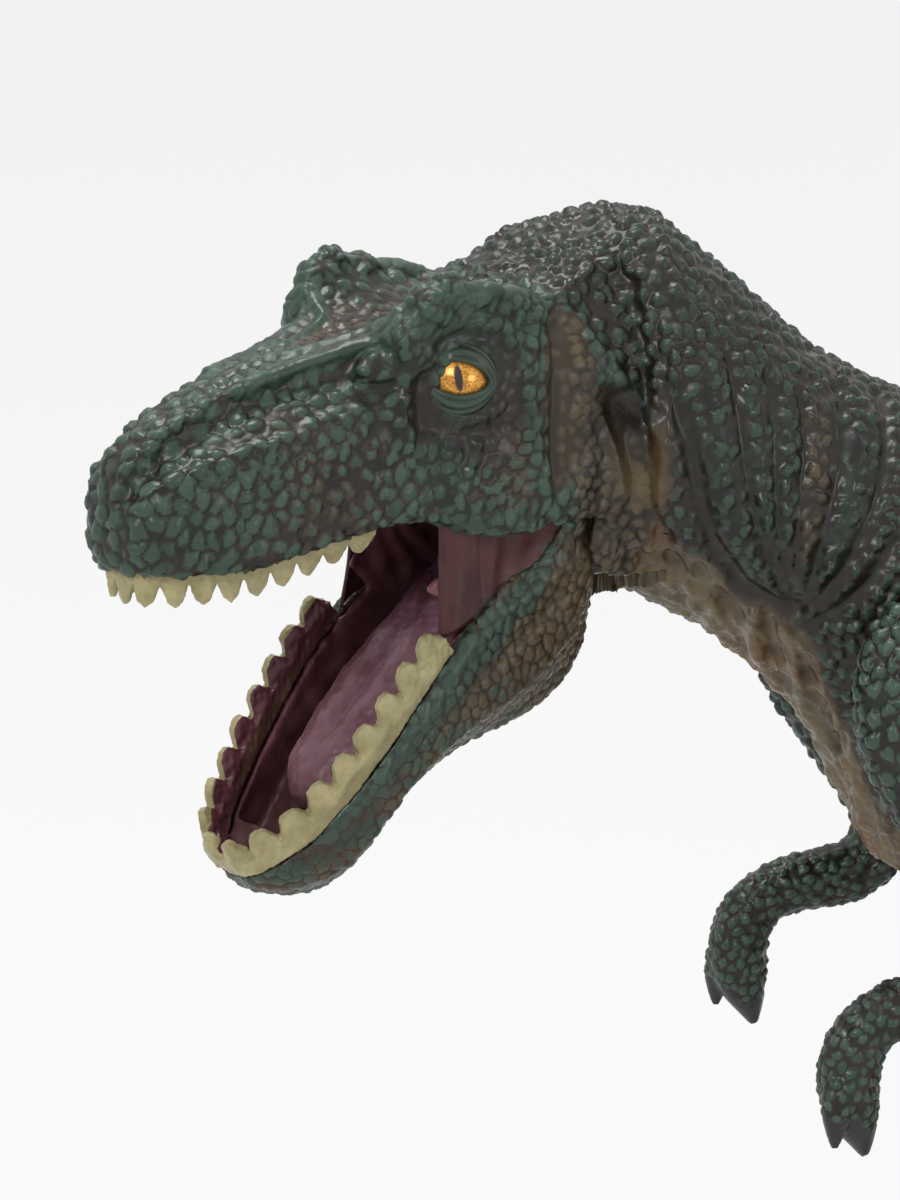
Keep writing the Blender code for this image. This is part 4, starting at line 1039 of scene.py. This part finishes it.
# Two lids that meet in the eye's corners: a sheet from the almond edge out into the skin
def makeLids(side, name, centre, radius, turn):
    around, out, lidEdge = 160, 34, 0.12
    half, high = [math.radians(angle) for angle in eyes["almond"]]
    rings = []
    for k in range(out + 1):
        t = k / out
        ring = []
        for j in range(around):
            a = 2 * math.pi * j / around
            # An almond: pointed at the corners
            width, height = math.cos(a) * half, math.sin(a) * abs(math.sin(a)) ** 0.35 * high
            edge = math.hypot(width, height)
            spread = edge + max(t - lidEdge, 0) * (math.radians(82) - edge) * 1.1
            way = math.atan2(height, width)
            lift = 1.045 + 0.15 * math.sin(min(t / 0.30, 1) * math.pi / 2) - 0.13 * max(t - 0.42, 0) ** 1.2
            wrinkle = 0.020 * math.sin(t * 24 + 0.8 * math.cos(a)) * math.sin(math.pi * t)
            if math.sin(a) <= 0:
                wrinkle *= 0.75
            if t < lidEdge:
                lift = 1.0 + (lift - 1.0) * (t / lidEdge) ** 0.5
            flat = math.sin(spread)
            direction = Vector((flat * math.cos(way), flat * math.sin(way), math.cos(spread)))
            ring.append(direction * (radius * (lift + wrinkle)))
        rings.append(ring)
    work = bmesh.new()
    rows = [[work.verts.new(p) for p in ring] for ring in rings]
    for near, far in zip(rows, rows[1:]):
        for j in range(around):
            work.faces.new((near[j], near[(j + 1) % around], far[(j + 1) % around], far[j]))
    mesh = bpy.data.meshes.new(name)
    work.to_mesh(mesh)
    work.free()
    tilt = Matrix.Rotation(math.radians(eyes["lean"]) * side, 4, "Z")
    mesh.transform(Matrix.Translation(centre) @ turn @ tilt)
    mesh.shade_smooth()
    t = np.repeat(np.arange(out + 1) / out, around)
    a = np.tile(np.arange(around) * 2 * math.pi / around, out + 1)
    wave = 0.5 + 0.5 * np.sin(t * 24 + 0.8 * np.cos(a))
    green = 0.85 - 0.55 * ramp(t, 0.45, 0.8) - 0.25 * (np.sin(a) < 0)
    # Painted shade along the lid's edge beside the eye and in its wrinkles' troughs, and darker towards the
    # outside
    dark = 0.9 * (1 - ramp(t, 0.02, 0.14)) + 0.55 * (1 - wave) + 0.6 * ramp(t, 0.5, 0.85)
    painted = dict(relief=0.25 + 0.6 * wave, tone=0.5, green=green, dark=dark, beige=0, mouth=0, claw=0)
    for key, values in painted.items():
        addField(mesh, key, np.zeros(len(t)) + np.clip(values, 0, 1))
    made = link(bpy.data.objects.new(name, mesh))
    mesh.materials.append(hide)
    modify(made, "SOLIDIFY", thickness=eyes["lidThickness"] * mm, offset=-1)
    declare(made, "body", "green_skin")


for side, which in sides:
    makeLids(side, "eyelids" + which, *makeEye(side, "eye" + which))
print("eyes made")


# Lower jaw and what it carries
jawSkin = dict(voxel=0.45, smoothing=5)
jawStrokes = [
    ridge(1.5, 0.7, 0.05, (630, 536), (590, 552), (550, 580), (510, 610), (480, 640), (450, 672),
        smoothness=0.45),
    groove(1.2, 0.7, 0.3, (600, 572), (560, 600), (520, 640), (480, 678)),
    ridge(1.1, 0.5, 0.7, (470, 640), (440, 700), (410, 745), (370, 790), (330, 825), smoothness=0.6),
    groove(2.0, 0.5, 0.45, (380, 800), (350, 840), (300, 860)),
    groove(1.6, 0.4, 0.35, (400, 770), (430, 730), (470, 700)),
    ridge(2.2, 0.5, 0.1, (580, 640), (560, 680), (520, 710)),
]


jawSpin = headSpin @ turnAbout("Y", -joints["jawOpen"])


# Points as (ahead of the hinge, across, above the jaw's own line), in mm
def jawFrame(points):
    ahead, across, high = ((np.asarray(points) - np.array(joints["jaw"])) @ jawSpin / mm).T
    return -ahead, across, high


def dressJaw():
    sheet = sheetOf("lower_jaw", jawSkin["voxel"], jawSkin["smoothing"])
    # The rim dips at the mouth's corner, where the cheek's web shows over it
    x, y, z = toHead(sheet.points).T
    rim = -27.9 - 0.86 * (17.7 - x)
    dip = 4.0 * mm * np.exp(-(((x - 19) / 6.5) ** 2))
    sheet.points[:, 2] -= dip * ramp(z - rim, -9, -1) * (np.abs(y) > 9)
    ahead, across, high = jawFrame(sheet.points)
    p = sheet.points
    normal = sheet.normals() @ jawSpin
    facing, between = -normal[:, 1] * np.sign(across), np.abs(across) < 11
    inner = np.clip(ramp(facing, 0.2, 0.6) + ramp(normal[:, 2], 0.75, 0.95) * between, 0, 1)
    rear = 1 - ramp(ahead, 4, 40)
    front = ramp(ahead, 45, 80)
    lowDown = ramp(-high, 1, 6)
    green = 0.72 - 0.58 * lowDown * (0.55 + 0.45 * rear) - 0.30 * rear
    green = green + 0.22 * wobble(p, 9, 61) + 0.15 * front
    layPaint(sheet, green=green, dark=0.08 + 0.1 * front, beige=0.16 * lowDown + 0.22 * rear)
    sheet.paint["mouth"] += inner
    before = p.copy()
    sculpt(sheet, strokesOf(jawStrokes, [trees["lower_jaw"]], "head"))
    flat = np.clip(1 - 0.9 * np.clip(sheet.paint["smoothness"], 0, 1), 0.1, 1) * (1 - inner)
    sheet.points[inner > 0.5] = before[inner > 0.5]
    addScales(sheet, np.full(len(p), 1.9), 0.42 * flat, 0.35, seed=41)
    sheet.paint["relief"] = sheet.paint["relief"] * (0.35 + 0.65 * flat) + 0.4 * (1 - flat)
    finishPaint(sheet)
    declare(sheet.whole("jawSkin", hide), "jaw", "green_skin", "lower_jaw")


dressJaw()


# A copy of a solid with its edges softened, as a moulding has them
def moulded(node, name, voxel, smoothing, body, slot, material, shape):
    sheet = sheetOf(node, voxel, smoothing)
    layPaint(sheet)
    sheet.paint["relief"], sheet.paint["tone"] = np.full(sheet.count, 0.6), np.full(sheet.count, 0.5)
    shape(sheet)
    finishPaint(sheet)
    declare(sheet.whole(name, material), body, slot, node)


def shapeLowerTeeth(sheet):
    ahead, across, high = jawFrame(sheet.points)
    normal = sheet.normals() @ jawSpin
    facing = -normal[:, 1] * np.sign(across) + 0.6 * normal[:, 0] * ramp(ahead, 66, 80)
    rim = np.interp(ahead, (35, 50, 65, 76, 85), (3.8, 2.6, 0.2, -3.6, -5.6))
    sheet.paint["mouth"] += ramp(facing, 0.05, 0.5) * (1 - ramp(high - rim, 4.0, 6.2))
    sheet.paint["dark"] += 0.6 * (1 - ramp(high - rim, 0.2, 0.9))
    sheet.push(0.18 * wobble(sheet.points, 4.5, 71) + 0.06 * wobble(sheet.points, 1.4, 72))


def shapeUpperTeeth(sheet):
    _, y, z = toHead(sheet.points).T
    sheet.push(0.10 * wobble(sheet.points, 4.0, 73) + 0.05 * wobble(sheet.points, 1.2, 74))
    normal = sheet.normals() @ headSpin
    sheet.paint["mouth"] += 0.75 * ramp(-normal[:, 1] * np.sign(y), 0.3, 0.8) * ramp(z, -29.5, -27.5)


def shapeTongue(sheet):
    ahead, across, _ = jawFrame(sheet.points)
    groove = np.exp(-((across / 1.6) ** 2)) * ramp(ahead, 14, 24) * (1 - ramp(ahead, 52, 66))
    sheet.push(-1.0 * groove + 0.25 * wobble(sheet.points, 9, 75) + 0.08 * wobble(sheet.points, 2.2, 76))
    # Painted shade in the tongue's groove and towards the back of the mouth
    sheet.paint["dark"] += 0.35 * groove + 0.6 * (1 - ramp(ahead, 14, 34))


def shapeMouthFloor(sheet):
    ahead, _, high = jawFrame(sheet.points)
    folds = np.sin(ahead * 1.5 + 1.2 * wobble(sheet.points, 8, 77)) * ramp(high, -2, 4)
    sheet.push(0.22 * folds + 0.2 * wobble(sheet.points, 5, 78))
    # Its rear corner tucks in behind the web
    x, y, z = toHead(sheet.points).T
    tuck = np.exp(-(((x + 2.2) / 4.0) ** 2 + ((z + 33.2) / 4.0) ** 2)) * ramp(np.abs(y), 10.5, 13.0)
    sheet.points -= headSpin[:, 1] * (np.sign(y) * 2.6 * tuck * mm)[:, None]
    sheet.points[:, 2] -= 3.0 * tuck * mm
    # Painted shade low down and towards the back of the mouth
    sheet.paint["dark"] += 0.75 * (1 - ramp(high, -6.0, -1.0)) + 0.35 * (1 - ramp(ahead, 4, 20))


# The soft web of the cheek, from the lip down to the jaw: edges in the head's frame, in mm
web = dict(
    upper=[(-1.5, -15, -21.5), (6, -15.6, -22.5), (14, -16, -24.5), (22, -16, -26), (29, -15.4, -27)],
    lower=[(-1.5, -14.9, -44), (6, -15.2, -40.5), (13, -15.6, -37), (21, -15.6, -33.5), (29, -15, -30.5)],
    thickness=0.6,
)


def makeWeb(side, which):
    across, down = 60, 30
    share = np.linspace(0, 1, len(web["upper"]))
    t = np.linspace(0, 1, across)
    edges = [[np.interp(t, share, row) for row in zip(*web[key])] for key in ("upper", "lower")]
    upper, lower = [np.stack(edge, 1) for edge in edges]
    points = []
    for j in range(down):
        v = j / (down - 1)
        row = upper + (lower - upper) * v
        sag = math.sin(math.pi * v)
        fold = 0.5 * np.exp(-(((t - 0.27) / 0.03) ** 2)) - 0.3 * np.exp(-(((t - 0.33) / 0.05) ** 2))
        fold = fold + 0.12 * np.sin(t * 31 + 2 * v) + 0.25 * np.sin(t * 9 + 4 * v)
        row[:, 1] += sag * (0.9 + fold)
        # The front edge curves in and rolls over
        row[:, 0] += 1.2 * sag * np.exp(-t / 0.10)
        row[:, 1] += 1.6 * np.exp(-t / 0.03)
        points.append(row * (1, -side, 1))
    points = fromHead(np.concatenate(points))
    corners = (0, 1, across + 1, across) if side < 0 else (across, across + 1, 1, 0)
    starts = [j * across + i for j in range(down - 1) for i in range(across - 1)]
    faces = [tuple(start + corner for corner in corners) for start in starts]
    mesh = bpy.data.meshes.new("cheekWeb" + which)
    mesh.from_pydata(points.tolist(), [], faces)
    made = link(bpy.data.objects.new(mesh.name, mesh))
    modify(made, "SOLIDIFY", thickness=web["thickness"] * mm, offset=0)
    mesh.shade_smooth()
    addField(mesh, "dark", np.zeros(len(mesh.vertices)))
    mesh.materials.append(webPink)
    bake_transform(made)


for side, which in sides:
    makeWeb(side, which)


moulded("upper_teeth", "upperTeeth", 0.24, 5, "body", "ivory_teeth", enamel, shapeUpperTeeth)
moulded("lower_teeth", "lowerTeeth", 0.30, 7, "jaw", "ivory_teeth", enamel, shapeLowerTeeth)
moulded("tongue", "tongueMoulding", 0.45, 14, "jaw", "mauve_tongue", tongueMauve, shapeTongue)
moulded("mouth_floor", "mouthFloor", 0.55, 5, "jaw", "pink_mouth", cheekPink, shapeMouthFloor)
print("mouth made")


# Arms
arms = dict(
    voxel=0.45, smoothing=8,
    # Claws from the shoulder: ahead, down, then out from the arm's plane
    claws=[(-0.0122, -0.0765, 8.5), (-0.0180, -0.0735, 11.0)],
    # Creases of the elbow, ahead of the shoulder and below it, and how far out they lie
    creases=[(0.010, -0.035), (0.012, -0.040), (0.010, -0.047), (-0.002, -0.053), (-0.012, -0.058)],
    creasesOut=(0.031, 0.041), clearOfBody=27.5,
)


limbBeads = 0.85


def finishLimb(sheet, name, body, node):
    sheet.paint["relief"] = np.where(sheet.paint["claw"] > 0.5, 0.6, sheet.paint["relief"])
    finishPaint(sheet)
    declare(sheet.whole(name, hide), body, "green_skin", node)


def dressArm(side, which):
    node = "arm_" + which.lower()
    px, pz = joints["shoulder"]
    sheet = sheetOf(node, arms["voxel"], arms["smoothing"])
    p, clear = sheet.points, arms["clearOfBody"]
    down, out = (pz - p[:, 2]) / mm, np.abs(p[:, 1]) / mm
    root = 1 - ramp(out, clear - 0.4, clear + 0.6)
    fore = ramp(down, 34, 50)
    # Painted shade at the arm's root, where it meets the body
    layPaint(sheet, green=0.74 - 0.10 * fore + 0.14 * wobble(p, 10, 81), dark=0.1 + 0.25 * root)
    for ahead, drop, off in arms["claws"]:
        tip = np.array([px + ahead, side * (clear + off) * mm, pz + drop])
        distance = np.linalg.norm((p - tip) * (1, 0.8, 1), axis=1) / mm
        sheet.paint["claw"] += 1 - ramp(distance + 0.5 * wobble(p, 3, 82), 4.6, 5.2)
    crease, lines = stroke(1.0, -0.45, dark=0.2), []
    for (x, z), y in product(arms["creases"], arms["creasesOut"]):
        ends = (px + x - 0.008, side * y, pz + z - 0.004), (px + x + 0.006, side * y, pz + z + 0.004)
        lines.append((lineSamples(ends), crease))
    sculpt(sheet, lines)
    height = (0.85 - 0.35 * fore) * (1 - 0.75 * root) * (1 - np.clip(sheet.paint["claw"], 0, 1))
    height *= 0.3 + 0.7 * ramp(out, clear + 0.2, clear + 2.5)
    addScales(sheet, 2.6 - 0.9 * fore, height, limbBeads, seed=83)
    finishLimb(sheet, "armSkin" + which, which.lower() + "_arm", node)


# Legs
legs = dict(
    voxel=0.8, smoothing=6, clearOfBody=29.0, reach=140.5,
    toes=[(-24, 0.40), (0, 0.48), (24, 0.40), (180, 0.14)],  # heading in degrees, share of the reach
    creases=[  # folds and muscles: points ahead and up, in mm
        groove(1.7, 1.0, 0.5, (-14, 92), (-24, 88), (-34, 87)),
        groove(1.4, 0.8, 0.4, (-13, 85), (-24, 81), (-32, 80)),
        stroke(3.4, 0.9, (-46, 100), (-43, 90), (-41, 82)),
        groove(2.2, 0.8, 0.3, (-4, 150), (-20, 138), (-30, 118), (-32, 104)),
        groove(2.6, 0.7, 0.25, (4, 140), (-4, 120), (-10, 104)),
        stroke(2.6, 0.7, (-10, 72), (0, 62), (4, 52)),
        groove(1.8, 0.7, 0.3, (-24, 74), (-14, 62), (-8, 52)),
        groove(1.2, 0.7, 0.4, (-26, 42), (-12, 38), (2, 40)),
        groove(1.2, 0.7, 0.4, (-27, 35), (-14, 31), (2, 33)),
        groove(1.1, 0.6, 0.4, (-28, 28), (-14, 25), (0, 27)),
        groove(1.1, 0.6, 0.4, (-28, 21), (-14, 19), (-2, 20)),
    ],
)


def dressLeg(side, which):
    node = "leg_" + which.lower()
    px, pz = joints["hip"]
    sheet = sheetOf(node, legs["voxel"], legs["smoothing"])
    p, clear = sheet.points, legs["clearOfBody"]
    down, out = (pz - p[:, 2]) / mm, np.abs(p[:, 1]) / mm
    root = (1 - ramp(out, clear - 0.4, clear + 0.8)) * (down < 45)
    low = ramp(down, 80, 120)
    sole = 1 - ramp(p[:, 2] / mm, 0.4, 1.4)
    green = 0.72 + 0.14 * wobble(p, 16, 91) - 0.3 * sole
    # Painted shade at the leg's root, where it meets the body
    layPaint(sheet, green=green, dark=0.08 + 0.25 * root, beige=0.25 * sole)
    middle = np.array([px - 0.090 * legs["reach"] * mm, side * 38.0 * mm, 0.004])
    for turn, share in legs["toes"]:
        heading = turnAbout("Z", side * turn) @ np.array([-1.0, 0, 0])
        tip = middle + heading * (share * legs["reach"] - 3.0) * mm
        distance = np.linalg.norm(p - tip, axis=1) / mm
        size = 9.5 if turn != 180 else 5.5
        sheet.paint["claw"] += 1 - ramp(distance + 0.6 * wobble(p, 4, 92), size, size + 0.8)
    lines = []
    for row, off in product(legs["creases"], range(24, 64, 3)):
        lines.append((lineSamples([(x * mm, side * off * mm, z * mm) for x, z in row["points"]]), row))
    sculpt(sheet, lines)
    height = (1.0 - 0.4 * low) * (1 - 0.75 * root) * (1 - np.clip(sheet.paint["claw"], 0, 1)) * (1 - sole)
    addScales(sheet, 3.3 - 0.9 * low, height, limbBeads, seed=93)
    sheet.points[:, 2] = np.maximum(sheet.points[:, 2], 0.0)
    finishLimb(sheet, "legSkin" + which, which.lower() + "_leg", node)


for side, which in sides:
    dressArm(side, which)
    dressLeg(side, which)
print("limbs made")


# Hardware that stays as the frame has it
for name, obj in nodes.items():
    for kind, material in (("pin", steel), ("peg", plastic), ("collar", plastic)):
        if kind in name:
            obj.data.materials.clear()
            obj.data.materials.append(material)


# Floor, light and camera
studio = dict(
    floor=60.0, floorColour=(0.90, 0.90, 0.90, 1), floorWhite=(0.97, 0.97, 0.97, 1), floorGlow=0.86,
    white=(0.930, 0.930, 0.930, 1), worldLevel=0.36,
    lights=[  # name, width, power, place and aim
        ("overhead", 0.55, 7.4, (-0.25, 0.15, 1.15), (-0.12, 0, 0.18)),
        ("keyLeft", 0.4, 4.2, (-0.75, -0.75, 0.75), (-0.15, 0, 0.18)),
        ("fillRight", 0.5, 1.5, (0.55, -0.85, 0.35), (-0.10, 0, 0.18)),
    ],
)


# 1 on what the camera sees, straight, mirrored or through something clear
def seenRays(tree):
    path = tree.nodes.new("ShaderNodeLightPath")
    seen = path.outputs["Is Camera Ray"]
    for kind in ("Is Glossy Ray", "Is Transmission Ray"):
        total = tree.nodes.new("ShaderNodeMath")
        total.operation, total.use_clamp = "ADD", True
        tree.links.new(seen, total.inputs[0])
        tree.links.new(path.outputs[kind], total.inputs[1])
        seen = total.outputs[0]
    return seen


def mixShaders(tree, factor, first, second, output):
    blend = tree.nodes.new("ShaderNodeMixShader")
    for socket, source in zip(blend.inputs, (factor, first.outputs[0], second.outputs[0])):
        tree.links.new(source, socket)
    tree.links.new(blend.outputs[0], tree.nodes[output].inputs["Surface"])


def makeFloor():
    bpy.ops.mesh.primitive_plane_add(size=studio["floor"])
    floor = bpy.context.object
    floor.name = "studioFloor"
    paint = Paint("studioFloor")
    paint.set(Base_Color=studio["floorColour"], Roughness=0.9)
    glow = paint.node("ShaderNodeEmission")
    glow.inputs["Color"].default_value = studio["floorWhite"]
    seen = paint.math("MULTIPLY", seenRays(paint.tree), studio["floorGlow"])
    mixShaders(paint.tree, seen, paint.shader, glow, "Material Output")
    floor.data.materials.append(paint.material)


def makeLight(name, size, power, place, aim):
    light = bpy.data.lights.new(name, "AREA")
    light.shape, light.size, light.energy = "DISK", size, power
    lamp = link(bpy.data.objects.new(name, light))
    lamp.location = place
    lamp.rotation_euler = (Vector(aim) - Vector(place)).to_track_quat("-Z", "Y").to_euler()


def makeWorld():
    world = bpy.data.worlds.new("studio")
    world.use_nodes = True
    tree = world.node_tree
    lit, seen = tree.nodes["Background"], tree.nodes.new("ShaderNodeBackground")
    lit.inputs["Color"].default_value = (1, 1, 1, 1)
    lit.inputs["Strength"].default_value = studio["worldLevel"]
    seen.inputs["Color"].default_value = studio["white"]
    mixShaders(tree, seenRays(tree), lit, seen, "World Output")
    bpy.context.scene.world = world


def makeCamera():
    camera = bpy.data.cameras.new("photoCamera")
    camera.sensor_width = 36
    camera.lens = 36 * photo["distance"] / (photo["size"][1] * photo["pixel"])
    camera.clip_start = 0.01
    stand = link(bpy.data.objects.new("photoCamera", camera))
    stand.location = cameraAt
    stand.rotation_euler = Vector(-back).to_track_quat("-Z", "Y").to_euler()
    bpy.context.scene.camera = stand


makeFloor()
makeWorld()
for row in studio["lights"]:
    makeLight(*row)
makeCamera()
bpy.context.scene.view_settings.view_transform = "Standard"
print("studio made")
